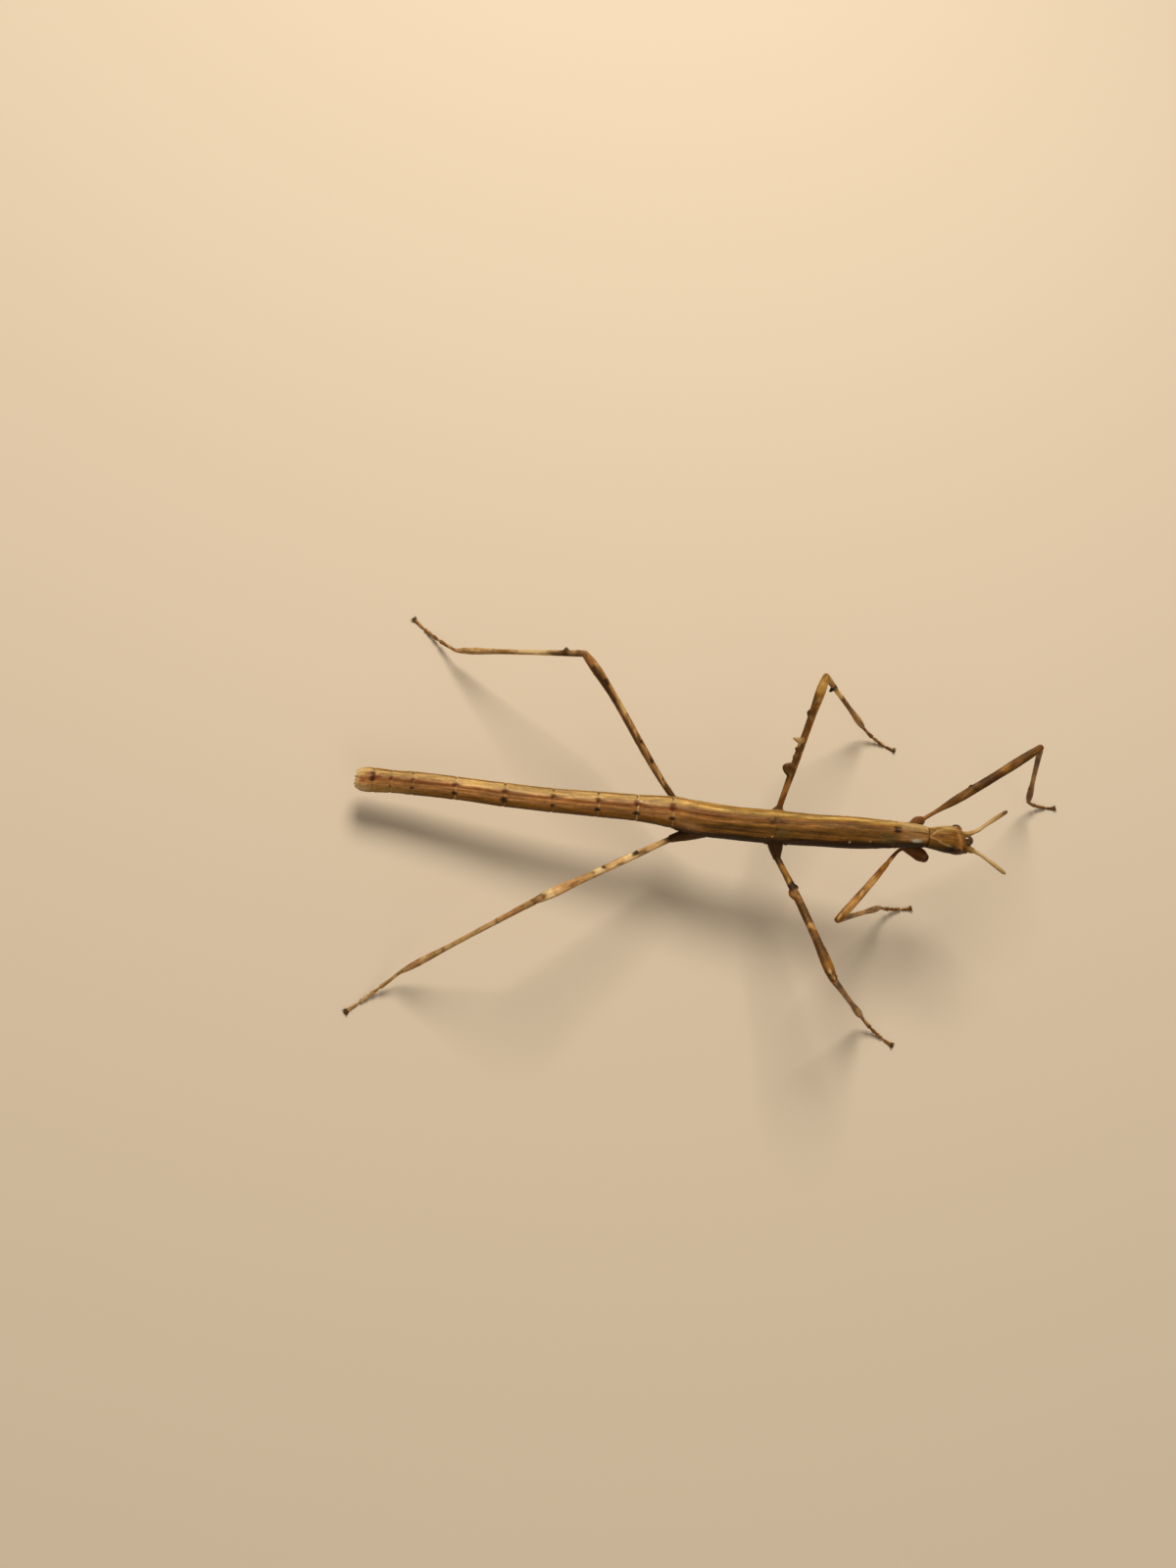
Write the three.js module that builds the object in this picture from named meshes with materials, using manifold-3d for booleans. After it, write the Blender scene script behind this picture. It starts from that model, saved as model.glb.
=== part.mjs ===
// A brown Vietnamese stick insect (Medauroidea extradentata), a nearly grown female, standing on six feet.
//
// Millimetres, +Z up, soles on Z = 0, head towards +X, the insect's left towards +Y.
// The trunk is drawn in a frame of its own, x forward from the tail tip, y to the left and z up, and that
// frame is pitched up at the head. Each leg is then stepped out from its hip by headings and lengths, and
// its ankle and sole heights are fixed, so that all six feet meet the floor at one level.

import * as THREE from 'three';
import { mergeVertices } from 'three/addons/utils/BufferGeometryUtils.js';
import Module from 'manifold-3d';

// ---------------------------------------------------------------- driving dimensions

const TAIL_HEIGHT = 4.3;
const BODY_PITCH = THREE.MathUtils.degToRad(9);
const GAP = 0.05; // clearance between neighbouring pieces
const COXA_GAP = 0.1; // clearance between the trunk and each leg
const TRUNK_SIDES = 16;
const HEAD_RINGS = 7;
const LIMB_SIDES = 8;
const LIMB_RINGS = { coxa: 4, femur: 11, tibia: 7, tarsus: 10, antenna: 9 };

// Trunk pieces from the tail forward, each with its length.
const TRUNK_PIECES = [
  ['abdomen_10', 2.25],
  ['abdomen_09', 2.05],
  ['abdomen_08', 2.6],
  ['abdomen_07', 5.1],
  ['abdomen_06', 5.95],
  ['abdomen_05', 5.85],
  ['abdomen_04', 5.4],
  ['abdomen_03', 4.7],
  ['abdomen_02', 4.3],
  ['median_segment', 3.0],
  ['metathorax', 9.6],
  ['mesothorax', 14.7],
  ['prothorax', 3.9],
];
const RING_SPACING = 1.6; // length of trunk that one ring of faces covers
const REAR_FLARE = 0.035; // each trunk piece swells by this share at its rear edge

// Trunk sections: distance from the tail tip, half width, half height, sideways shift, drop.
const TRUNK_SECTIONS = [
  [0.0, 1.08, 0.82, 0.12, 0.05],
  [0.5, 1.36, 1.1, 0.12, 0.05],
  [2.2, 1.48, 1.26, 0.15, 0.05],
  [4.4, 1.37, 1.28, 0.2, 0.08],
  [7.0, 1.43, 1.32, 0.22, 0.05],
  [12.0, 1.41, 1.26, 0.12, 0.0],
  [18.0, 1.47, 1.32, -0.1, 0.0],
  [24.0, 1.48, 1.34, -0.2, 0.0],
  [29.2, 1.55, 1.4, -0.12, 0.0],
  [34.0, 1.62, 1.48, -0.08, 0.0],
  [38.0, 1.9, 1.74, -0.16, 0.1],
  [41.5, 2.1, 1.98, -0.5, 0.35],
  [46.0, 2.05, 2.02, -0.64, 0.5],
  [50.8, 2.06, 2.02, -0.62, 0.5],
  [56.0, 1.95, 1.96, -0.54, 0.4],
  [61.0, 1.95, 1.88, -0.4, 0.25],
  [65.4, 1.66, 1.62, -0.21, 0.1],
  [67.4, 1.53, 1.5, -0.14, 0.02],
  [69.4, 1.4, 1.38, -0.12, 0.0],
];

const CERCUS = { place: [0.55, 0.52, -0.72], radii: [0.62, 0.3, 0.3], facets: 8 };
const EGG_SCOOP = { place: [3.0, 0.18, -0.98], radii: [3.2, 0.85, 0.55], facets: 12 };

// Head sections: distance from the tail tip, half width, half height, drop.
const HEAD_SECTIONS = [
  [69.45, 1.37, 1.35, 0.0],
  [70.5, 1.44, 1.4, -0.02],
  [71.9, 1.66, 1.48, -0.02],
  [73.1, 1.6, 1.4, 0.06],
  [74.1, 1.22, 1.12, 0.28],
  [74.7, 0.86, 0.84, 0.44],
  [74.95, 0.5, 0.5, 0.5],
];
const HEAD_SHIFT = -0.2;
const FACE = { place: [74.35, HEAD_SHIFT, -0.2], radii: [0.78, 0.72, 0.84], facets: 12 };
const MOUTHPARTS = { place: [74.0, HEAD_SHIFT, -1.15], radii: [0.86, 0.82, 0.74], facets: 10 };
const EYE = { place: [73.05, 1.48, 0.32], radii: [0.6, 0.42, 0.55], facets: 12 };

// Antennae: points along each centre line, outward distance counted from the head's middle.
const ANTENNAE = {
  left: [[74.2, 0.76, 0.0], [75.8, 1.5, 0.15], [77.2, 2.6, 0.25], [79.5, 4.3, 0.5]],
  right: [[74.2, 0.84, 0.0], [75.6, 1.34, 0.15], [77.0, 2.26, 0.25], [78.9, 3.86, 0.55]],
};
const ANTENNA_RADIUS = 0.27;
const SCAPE_RADIUS = 0.4;

// Leg pairs: segment lengths, ankle height, and the hip's socket in the trunk's frame.
// Girths are half thicknesses of each segment as [share of its length, across, up and down].
const PAIRS = {
  fore: {
    femur: 17.8,
    tibia: 18.6,
    tarsus: 5.8,
    ankleHeight: 2.4,
    socket: [66.9, 0.9, -0.75],
    coxaGirth: [[0, 0.72, 0.72], [0.5, 0.78, 0.75], [0.85, 0.76, 0.76], [1, 0.56, 0.56]],
    femurGirth: [
      [0, 0.27, 0.27], [0.13, 0.27, 0.28], [0.26, 0.5, 0.52],
      [0.6, 0.56, 0.58], [0.93, 0.52, 0.54], [1, 0.42, 0.42],
    ],
  },
  mid: {
    femur: 17.6,
    tibia: 17.9,
    tarsus: 5.9,
    ankleHeight: 2.2,
    socket: [51.0, 1.0, -0.9],
    coxaGirth: [[0, 1.15, 0.95], [0.6, 0.85, 0.8], [1, 0.5, 0.5]],
    femurGirth: [
      [0, 0.38, 0.38], [0.12, 0.38, 0.38], [0.3, 0.46, 0.44],
      [0.7, 0.48, 0.46], [0.94, 0.58, 0.5], [1, 0.42, 0.4],
    ],
  },
  hind: {
    femur: 21.2,
    tibia: 19.7,
    tarsus: 7.4,
    ankleHeight: 2.2,
    socket: [42.4, 1.2, -0.9],
    coxaGirth: [[0, 0.95, 0.9], [0.55, 0.75, 0.75], [1, 0.5, 0.5]],
    femurGirth: [
      [0, 0.36, 0.36], [0.1, 0.38, 0.38], [0.3, 0.45, 0.46],
      [0.7, 0.46, 0.48], [0.95, 0.54, 0.52], [1, 0.42, 0.4],
    ],
  },
};
const TIBIA_GIRTH = [
  [0, 0.3, 0.3], [0.03, 0.38, 0.38], [0.12, 0.36, 0.36],
  [0.6, 0.29, 0.3], [0.96, 0.31, 0.32], [1, 0.22, 0.22],
];
const TARSUS_GIRTH = [
  [0, 0.26, 0.26], [0.45, 0.25, 0.26], [0.8, 0.3, 0.28], [0.93, 0.4, 0.3], [1, 0.26, 0.2],
];
const PAD_HEIGHT = 0.1; // middle of the foot pad above the floor: the floor cuts it to a flat sole
const INSTEP_HEIGHT = 0; // how low the tarsus is drawn down on its way from ankle to pad

// The stance. hip is the end of the coxa in the trunk's frame, measured outward to the leg's own side.
// Headings are degrees outward from straight ahead and lift is degrees above level. Some femora are bent:
// reach is the straight distance from hip to knee, and handles are the two curve handles from the hip.
// A femur's own girth stands in for its pair's.
const LEGS = [
  {
    pair: 'fore', side: 'left', hip: [69.3, 2.45, -1.4],
    femur: { heading: 36.5, lift: 16.9, reach: 17.8, handles: [[2.3, 1.7, 0.6], [7.0, 4.8, 2.6]] },
    tibia: -2.5, tarsus: 7,
  },
  {
    pair: 'fore', side: 'right', hip: [69.8, 2.3, -1.7],
    femur: {
      heading: 141, lift: 7.3, reach: 15.8, handles: [[-3.6, -1.9, -2.65], [-1.1, -2.8, 0.35]],
      girth: [
        [0, 0.27, 0.27], [0.32, 0.28, 0.28], [0.48, 0.38, 0.39],
        [0.7, 0.45, 0.46], [0.93, 0.47, 0.48], [1, 0.4, 0.4],
      ],
    },
    tibia: -28, tarsus: -12,
  },
  {
    pair: 'mid', side: 'left', hip: [51.7, 2.4, -2.0],
    femur: { heading: 77.4, lift: 18.5 }, tibia: 2.9, tarsus: -17,
  },
  {
    pair: 'mid', side: 'right', hip: [51.6, 3.9, -2.1],
    femur: { heading: 73.3, lift: 22, handles: [[1.98, 5.21, 2.2], [3.43, 10.42, 4.4]] },
    tibia: 5, tarsus: 28,
  },
  {
    pair: 'hind', side: 'left', hip: [38.8, 2.1, -2.0],
    femur: { heading: 134.5, lift: 17.8, handles: [[-5.23, 4.48, 2.16], [-8.66, 10.08, 4.32]] },
    tibia: 165.8, tarsus: 142.5,
  },
  {
    pair: 'hind', side: 'right', hip: [38.6, 2.9, -1.95],
    femur: { heading: 145.2, lift: 17.1 }, tibia: 150.4, tarsus: 138,
  },
];

// Lobes and teeth that grow from a leg segment: share of its length, height above its surface, half length,
// and the turn around the segment, in degrees from straight up towards its front edge.
const GROWTH_HALF_WIDTH = 0.3;
const GROWTH_FACETS = 6;
const GROWTHS = {
  femur_fore_left: [{ at: 0.43, height: 0.18, halfLength: 0.35, turn: -75 }],
  femur_mid_left: [
    { at: 0.285, height: 1.05, halfLength: 0.85, turn: -80 },
    { at: 0.5, height: 1.1, halfLength: 0.42, turn: -80 },
    { at: 0.71, height: 0.35, halfLength: 0.5, turn: -80 },
  ],
  femur_mid_right: [
    { at: 0.32, height: 0.5, halfLength: 0.8, turn: 80 },
    { at: 0.27, height: 0.3, halfLength: 0.4, turn: -80 },
  ],
  tibia_mid_left: [{ at: 0.2, height: 0.5, halfLength: 0.42, turn: 140 }],
  tibia_hind_left: [{ at: 0.135, height: 0.4, halfLength: 0.4, turn: 60 }],
};

// ---------------------------------------------------------------- materials

const cuticle = (color) => new THREE.MeshStandardMaterial({ color, roughness: 0.6, metalness: 0 });
const MATERIALS = {
  abdomen: cuticle(0xb39668),
  thorax: cuticle(0x8f6a36),
  head: cuticle(0x6f4f24),
  leg: cuticle(0x7d5c33),
  antenna: cuticle(0x9a7a45),
  eye: new THREE.MeshStandardMaterial({ color: 0x2c1408, roughness: 0.2, metalness: 0 }),
};

// ---------------------------------------------------------------- geometry helpers

const wasm = await Module();
wasm.setup();

const trunkToFloor = new THREE.Matrix4()
  .makeRotationY(-BODY_PITCH)
  .setPosition(0, 0, TAIL_HEIGHT);
const trunkPoint = (x, y, z) => new THREE.Vector3(x, y, z).applyMatrix4(trunkToFloor);

// Smooth curve through rows of [place, value, value, ...], read back as the values at any place.
function sections(rows) {
  const places = rows.map(([place]) => place);
  const values = rows.flatMap(([, ...rest]) => rest);
  const curve = new THREE.CubicInterpolant(places, values, rows[0].length - 1);
  return (place) => Array.from(curve.evaluate(place));
}

// Unit vector at a heading and a lift, in degrees, with headings turning towards side (+1 left, -1 right).
function direction(heading, lift, side) {
  const turn = THREE.MathUtils.degToRad(heading);
  const rise = THREE.MathUtils.degToRad(lift);
  const level = Math.cos(rise);
  return new THREE.Vector3(Math.cos(turn) * level, side * Math.sin(turn) * level, Math.sin(rise));
}

// A geometry with only its positions left, and its shared corners merged.
function welded(geometry) {
  geometry.deleteAttribute('normal');
  geometry.deleteAttribute('uv');
  return mergeVertices(geometry, 1e-5);
}

// A closed loft: place(t, across, up) puts each corner, with t running from 0 to 1 along it and the other
// two on a circle.
function loft(steps, sides, place) {
  const geometry = welded(new THREE.CylinderGeometry(1, 1, 1, sides, steps));
  const corners = geometry.attributes.position;
  for (let i = 0; i < corners.count; i += 1) {
    const point = place(corners.getY(i) + 0.5, corners.getZ(i), corners.getX(i));
    corners.setXYZ(i, point.x, point.y, point.z);
  }
  return geometry;
}

// The axes across and up from a path whose tangent is given.
function axesAround(tangent) {
  const across = new THREE.Vector3(0, 0, 1).cross(tangent).normalize();
  return { across, up: tangent.clone().cross(across) };
}

// A rod along a curve with the given girths, swollen all round by grow.
function rod(path, girth, rings, { grow = 0, floor = -Infinity } = {}) {
  const girthAt = sections(girth);
  return loft(rings, LIMB_SIDES, (t, u, v) => {
    const tangent = path.getTangentAt(t);
    const { across, up } = axesAround(tangent);
    const [wide, high] = girthAt(t);
    const overrun = t === 0 ? -grow : (t === 1 ? grow : 0);
    const point = path.getPointAt(t)
      .addScaledVector(tangent, overrun)
      .addScaledVector(across, u * (wide + grow))
      .addScaledVector(up, v * (high + grow));
    point.z = Math.max(point.z, floor);
    return point;
  });
}

// An egg-shaped solid with its long axis turned to follow a frame.
function ellipsoid({ radii, facets, grow = 0 }, frame) {
  const geometry = welded(new THREE.SphereGeometry(1, facets, Math.round(facets * 0.7)));
  geometry.scale(...radii.map((radius) => radius + grow));
  return geometry.applyMatrix4(frame);
}

const trunkFrame = (x, y, z) => trunkToFloor.clone().multiply(new THREE.Matrix4().makeTranslation(x, y, z));

function solid(geometry) {
  return new wasm.Manifold(new wasm.Mesh({
    numProp: 3,
    vertProperties: geometry.attributes.position.array,
    triVerts: Uint32Array.from(geometry.index.array),
  }));
}

function geometryOf(body) {
  const { vertProperties, triVerts } = body.getMesh();
  const geometry = new THREE.BufferGeometry();
  geometry.setAttribute('position', new THREE.BufferAttribute(vertProperties, 3));
  geometry.setIndex(new THREE.BufferAttribute(triVerts, 1));
  return geometry;
}

const insect = new THREE.Group();

function add(name, body, material) {
  const geometry = geometryOf(body);
  geometry.computeVertexNormals();
  const mesh = new THREE.Mesh(geometry, material);
  mesh.name = name;
  insect.add(mesh);
}

// ---------------------------------------------------------------- trunk

const trunkAt = sections(TRUNK_SECTIONS);

function trunkTube(start, end, { grow = 0, flare = 0 } = {}) {
  const steps = Math.max(2, Math.round((end - start) / RING_SPACING));
  return solid(loft(steps, TRUNK_SIDES, (t, u, v) => {
    const x = THREE.MathUtils.lerp(start, end, t);
    const [wide, high, shift, drop] = trunkAt(x);
    const swell = 1 + flare * (1 - t) ** 4;
    return trunkPoint(x, shift + (wide * swell + grow) * u, (high * swell + grow) * v - drop);
  }));
}

function buildTrunk() {
  let start = 0;
  for (const [name, length] of TRUNK_PIECES) {
    const end = start + length;
    let piece = trunkTube(start === 0 ? 0 : start + GAP / 2, end - GAP / 2, { flare: REAR_FLARE });
    if (name === 'abdomen_10') {
      const [x, y, z] = CERCUS.place;
      for (const side of [-1, 1]) {
        piece = piece.add(solid(ellipsoid(CERCUS, trunkFrame(x, trunkAt(x)[2] + side * y, z))));
      }
    }
    if (name === 'abdomen_08') {
      const behind = trunkTube(-1, start, { grow: GAP });
      const ahead = trunkTube(end, end + 6, { grow: GAP });
      const scoop = solid(ellipsoid(EGG_SCOOP, trunkFrame(...EGG_SCOOP.place)));
      piece = piece.add(scoop.subtract(behind).subtract(ahead));
    }
    const material = start + length / 2 > 39 ? MATERIALS.thorax : MATERIALS.abdomen;
    add(name, piece, material);
    start = end;
  }
}

// ---------------------------------------------------------------- head

function buildHead() {
  const headAt = sections(HEAD_SECTIONS);
  const back = HEAD_SECTIONS[0][0];
  const front = HEAD_SECTIONS.at(-1)[0];
  let head = solid(loft(HEAD_RINGS, TRUNK_SIDES, (t, u, v) => {
    const x = THREE.MathUtils.lerp(back, front, t);
    const [wide, high, drop] = headAt(x);
    return trunkPoint(x, HEAD_SHIFT + wide * u, high * v - drop);
  }));
  for (const shape of [FACE, MOUTHPARTS]) {
    head = head.add(solid(ellipsoid(shape, trunkFrame(...shape.place))));
  }
  for (const [label, side] of [['left', 1], ['right', -1]]) {
    const [x, y, z] = EYE.place;
    const eyeFrame = trunkFrame(x, HEAD_SHIFT + side * y, z);
    head = head.subtract(solid(ellipsoid({ ...EYE, grow: GAP }, eyeFrame)));
    add(`eye_${label}`, solid(ellipsoid(EYE, eyeFrame)), MATERIALS.eye);

    const points = ANTENNAE[label].map(([px, out, up]) => trunkPoint(px, HEAD_SHIFT + side * out, up));
    const path = new THREE.CatmullRomCurve3(points);
    const girth = [
      [0, SCAPE_RADIUS - 0.04, SCAPE_RADIUS - 0.04],
      [0.2, SCAPE_RADIUS, SCAPE_RADIUS - 0.04],
      [0.32, ANTENNA_RADIUS, ANTENNA_RADIUS],
      [0.95, ANTENNA_RADIUS, ANTENNA_RADIUS],
      [1, ANTENNA_RADIUS / 2, ANTENNA_RADIUS / 2],
    ];
    head = head.subtract(solid(rod(path, girth, LIMB_RINGS.antenna, { grow: GAP })));
    add(`antenna_${label}`, solid(rod(path, girth, LIMB_RINGS.antenna)), MATERIALS.antenna);
  }
  add('head', head, MATERIALS.head);
}

// ---------------------------------------------------------------- legs

// A flattened egg that stands out of a rod by its height, the rest of it sunk in the rod.
function growth(path, girth, { at, height, halfLength, turn }) {
  const tangent = path.getTangentAt(at);
  const { across, up } = axesAround(tangent);
  const [wide, high] = sections(girth)(at);
  const angle = THREE.MathUtils.degToRad(turn);
  const outward = up.clone().multiplyScalar(Math.cos(angle)).addScaledVector(across, -Math.sin(angle));
  const halfDepth = ((wide + high) / 2 + height) / 2;
  const frame = new THREE.Matrix4()
    .makeBasis(tangent, outward, tangent.clone().cross(outward))
    .setPosition(path.getPointAt(at).addScaledVector(outward, halfDepth));
  const radii = [halfLength, halfDepth, GROWTH_HALF_WIDTH];
  return solid(ellipsoid({ radii, facets: GROWTH_FACETS }, frame));
}

// One leg segment with its growths, cut back from its carrier, the piece that it starts in. Of what is
// left, the long piece is kept.
function legSegment(name, path, girth, rings, carrier, options) {
  let body = solid(rod(path, girth, rings, options));
  for (const shape of GROWTHS[name] ?? []) {
    body = body.add(growth(path, girth, shape));
  }
  const pieces = body.subtract(carrier).decompose();
  return pieces.reduce((best, piece) => (piece.volume() > best.volume() ? piece : best));
}

function buildLeg({ pair, side, hip, femur, tibia, tarsus }) {
  const size = PAIRS[pair];
  const sign = side === 'left' ? 1 : -1;
  const [socketX, socketOut, socketUp] = size.socket;
  const socket = trunkPoint(socketX, trunkAt(socketX)[2] + sign * socketOut, socketUp);
  const hipPoint = trunkPoint(hip[0], sign * hip[1], hip[2]);

  const reach = femur.reach ?? size.femur;
  const knee = hipPoint.clone().addScaledVector(direction(femur.heading, femur.lift, sign), reach);

  const fall = THREE.MathUtils.radToDeg(Math.asin((knee.z - size.ankleHeight) / size.tibia));
  const ankle = knee.clone().addScaledVector(direction(tibia, -fall, sign), size.tibia);

  const drop = THREE.MathUtils.radToDeg(Math.asin((size.ankleHeight - PAD_HEIGHT) / size.tarsus));
  const toe = ankle.clone().addScaledVector(direction(tarsus, -drop, sign), size.tarsus);
  const instep = ankle.clone().lerp(toe, 0.5).setZ(INSTEP_HEIGHT);

  const handles = femur.handles?.map(([x, out, up]) => new THREE.Vector3(x, sign * out, up).add(hipPoint));
  const femurPath = handles
    ? new THREE.CubicBezierCurve3(hipPoint, ...handles, knee)
    : new THREE.LineCurve3(hipPoint, knee);
  const chain = [
    ['coxa', new THREE.LineCurve3(socket, hipPoint), size.coxaGirth],
    ['femur', femurPath, femur.girth ?? size.femurGirth],
    ['tibia', new THREE.LineCurve3(knee, ankle), TIBIA_GIRTH],
    ['tarsus', new THREE.QuadraticBezierCurve3(ankle, instep, toe), TARSUS_GIRTH],
  ];

  let carrier = trunkTube(socketX - 7, Math.min(socketX + 7, 75), { grow: COXA_GAP });
  for (const [segment, path, girth] of chain) {
    const name = `${segment}_${pair}_${side}`;
    const rings = LIMB_RINGS[segment];
    add(name, legSegment(name, path, girth, rings, carrier, { floor: 0 }), MATERIALS.leg);
    carrier = solid(rod(path, girth, rings, { grow: GAP }));
  }
}

// ---------------------------------------------------------------- assembly

buildTrunk();
buildHead();
LEGS.forEach(buildLeg);

// The origin is on the floor, under the middle of the whole insect.
const reachBox = new THREE.Box3().setFromObject(insect);
const middle = reachBox.getCenter(new THREE.Vector3());
insect.position.set(-middle.x, -middle.y, 0);

const model = new THREE.Group();
model.add(insect);

export default model;
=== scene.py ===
"""A brown stick insect standing on a pale floor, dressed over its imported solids.

Sizes are in millimetres until a mesh is made, and metres from there. The trunk's own frame runs forward
from the tail tip (x), to the insect's left (y) and up (z), and is pitched up at the head. A turn around
the trunk or a limb is counted from straight up.
"""

import math

import bpy
import numpy as np
from mathutils import Matrix, Vector


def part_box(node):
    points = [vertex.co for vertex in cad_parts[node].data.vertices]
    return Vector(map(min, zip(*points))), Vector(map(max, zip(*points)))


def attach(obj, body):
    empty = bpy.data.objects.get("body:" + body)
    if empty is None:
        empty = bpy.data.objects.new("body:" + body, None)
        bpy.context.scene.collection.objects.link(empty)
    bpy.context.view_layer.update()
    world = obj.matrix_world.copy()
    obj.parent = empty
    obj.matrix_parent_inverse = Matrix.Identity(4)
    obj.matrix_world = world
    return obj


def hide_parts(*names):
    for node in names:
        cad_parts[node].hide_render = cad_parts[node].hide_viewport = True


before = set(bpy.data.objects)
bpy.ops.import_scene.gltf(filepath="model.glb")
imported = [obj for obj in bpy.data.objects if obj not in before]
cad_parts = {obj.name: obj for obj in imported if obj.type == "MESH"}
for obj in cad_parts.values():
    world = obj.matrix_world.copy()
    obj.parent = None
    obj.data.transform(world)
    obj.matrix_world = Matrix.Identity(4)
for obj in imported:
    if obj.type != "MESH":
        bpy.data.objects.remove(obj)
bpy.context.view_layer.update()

# ---------------- sizes, in millimetres

MM = 0.001
TAIL_HEIGHT = 4.3
PITCH = math.radians(9)

# Front edge of each trunk piece, counted from the tail tip, and how strong its groove and marks are.
EDGES = [
    (2.25, 1.3), (4.3, 1), (6.9, 1), (12.0, 1), (17.95, 1), (23.8, 1), (29.2, 1), (33.9, 1), (38.2, 1),
    (41.2, 0.45), (50.8, 1.1), (65.5, 1.1), (69.4, 0.6),
]

# Trunk sections: distance from the tail tip, half width, half height, sideways shift, drop.
TRUNK_SECTIONS = [
    (0.0, 1.08, 0.82, 0.12, 0.05), (0.5, 1.36, 1.1, 0.12, 0.05), (2.2, 1.48, 1.26, 0.15, 0.05),
    (4.4, 1.37, 1.28, 0.2, 0.08), (7.0, 1.43, 1.32, 0.22, 0.05), (12.0, 1.41, 1.26, 0.12, 0.0),
    (18.0, 1.47, 1.32, -0.1, 0.0), (24.0, 1.48, 1.34, -0.2, 0.0), (29.2, 1.55, 1.4, -0.12, 0.0),
    (34.0, 1.62, 1.48, -0.08, 0.0), (38.0, 1.9, 1.74, -0.16, 0.1), (41.5, 2.1, 1.98, -0.5, 0.35),
    (46.0, 2.05, 2.02, -0.64, 0.5), (50.8, 2.06, 2.02, -0.62, 0.5), (56.0, 1.95, 1.96, -0.54, 0.4),
    (61.0, 1.95, 1.88, -0.4, 0.25), (65.4, 1.66, 1.62, -0.21, 0.1), (67.4, 1.53, 1.5, -0.14, 0.02),
    (69.4, 1.4, 1.38, -0.12, 0.0),
]
THORAX_BACK = 39.5
PRONOTUM_BACK = 66.0
PRONOTUM_GROOVE = 67.2
HEAD_BACK = 69.45
HEAD_SECTIONS = [
    (69.45, 1.37, 1.35, 0.0), (70.5, 1.44, 1.4, -0.02), (71.9, 1.66, 1.48, -0.02), (73.1, 1.6, 1.4, 0.06),
    (74.1, 1.22, 1.12, 0.28), (74.7, 0.86, 0.84, 0.44), (74.95, 0.5, 0.5, 0.5),
]
HEAD_SHIFT = -0.2
EYE_PLACE = (73.05, 1.48, 0.32)
EYE_RADII = (0.6, 0.42, 0.55)
KNOB_PLACE = (74.4, 0, 0.34)  # the round glossy bump on the front of the head
KNOB_RADII = (0.74, 0.68, 0.62)

# Antennae: points along each centre line, outward distance counted from the head's middle.
ANTENNAE = {
    "left": [(74.2, 0.76, 0.0), (75.8, 1.5, 0.15), (77.2, 2.6, 0.25), (79.5, 4.3, 0.5)],
    "right": [(74.2, 0.84, 0.0), (75.6, 1.34, 0.15), (77.0, 2.26, 0.25), (78.9, 3.86, 0.55)],
}

PAIRS = {
    "fore": dict(femur=17.8, tibia=18.6, tarsus=5.8, ankle=2.4, socket=(66.9, 0.9, -0.75)),
    "mid": dict(femur=17.6, tibia=17.9, tarsus=5.9, ankle=2.2, socket=(51.0, 1.0, -0.9)),
    "hind": dict(femur=21.2, tibia=19.7, tarsus=7.4, ankle=2.2, socket=(42.4, 1.2, -0.9)),
}
PAD_HEIGHT = 0.1
SIGNS = {"left": 1, "right": -1}

# Half thicknesses of each segment: share of its length, across, up and down.
GIRTHS = {
    "coxa_fore": [(0, 0.72, 0.72), (0.5, 0.78, 0.75), (0.85, 0.76, 0.76), (1, 0.56, 0.56)],
    "coxa_fore_left": [(0, 0.4, 0.6), (0.5, 0.55, 0.7), (0.85, 0.72, 0.74), (1, 0.56, 0.56)],
    "coxa_mid": [(0, 1.15, 0.95), (0.6, 0.85, 0.8), (1, 0.5, 0.5)],
    "coxa_hind": [(0, 0.95, 0.9), (0.55, 0.75, 0.75), (1, 0.5, 0.5)],
    "femur_fore": [
        (0, 0.27, 0.27), (0.13, 0.27, 0.28), (0.26, 0.5, 0.52), (0.6, 0.56, 0.58), (0.93, 0.52, 0.54),
        (1, 0.42, 0.42),
    ],
    "femur_fore_right": [
        (0, 0.23, 0.24), (0.32, 0.25, 0.26), (0.48, 0.38, 0.39), (0.7, 0.45, 0.46), (0.93, 0.47, 0.48),
        (1, 0.4, 0.4),
    ],
    "femur_mid": [
        (0, 0.38, 0.38), (0.12, 0.38, 0.38), (0.3, 0.46, 0.44), (0.7, 0.48, 0.46), (0.94, 0.58, 0.5),
        (1, 0.42, 0.4),
    ],
    "femur_hind": [
        (0, 0.36, 0.36), (0.1, 0.38, 0.38), (0.3, 0.45, 0.46), (0.7, 0.46, 0.48), (0.95, 0.54, 0.52),
        (1, 0.42, 0.4),
    ],
    "tibia": [
        (0, 0.36, 0.36), (0.03, 0.39, 0.39), (0.12, 0.36, 0.36), (0.6, 0.29, 0.3), (0.96, 0.31, 0.32),
        (1, 0.22, 0.22),
    ],
}

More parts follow.
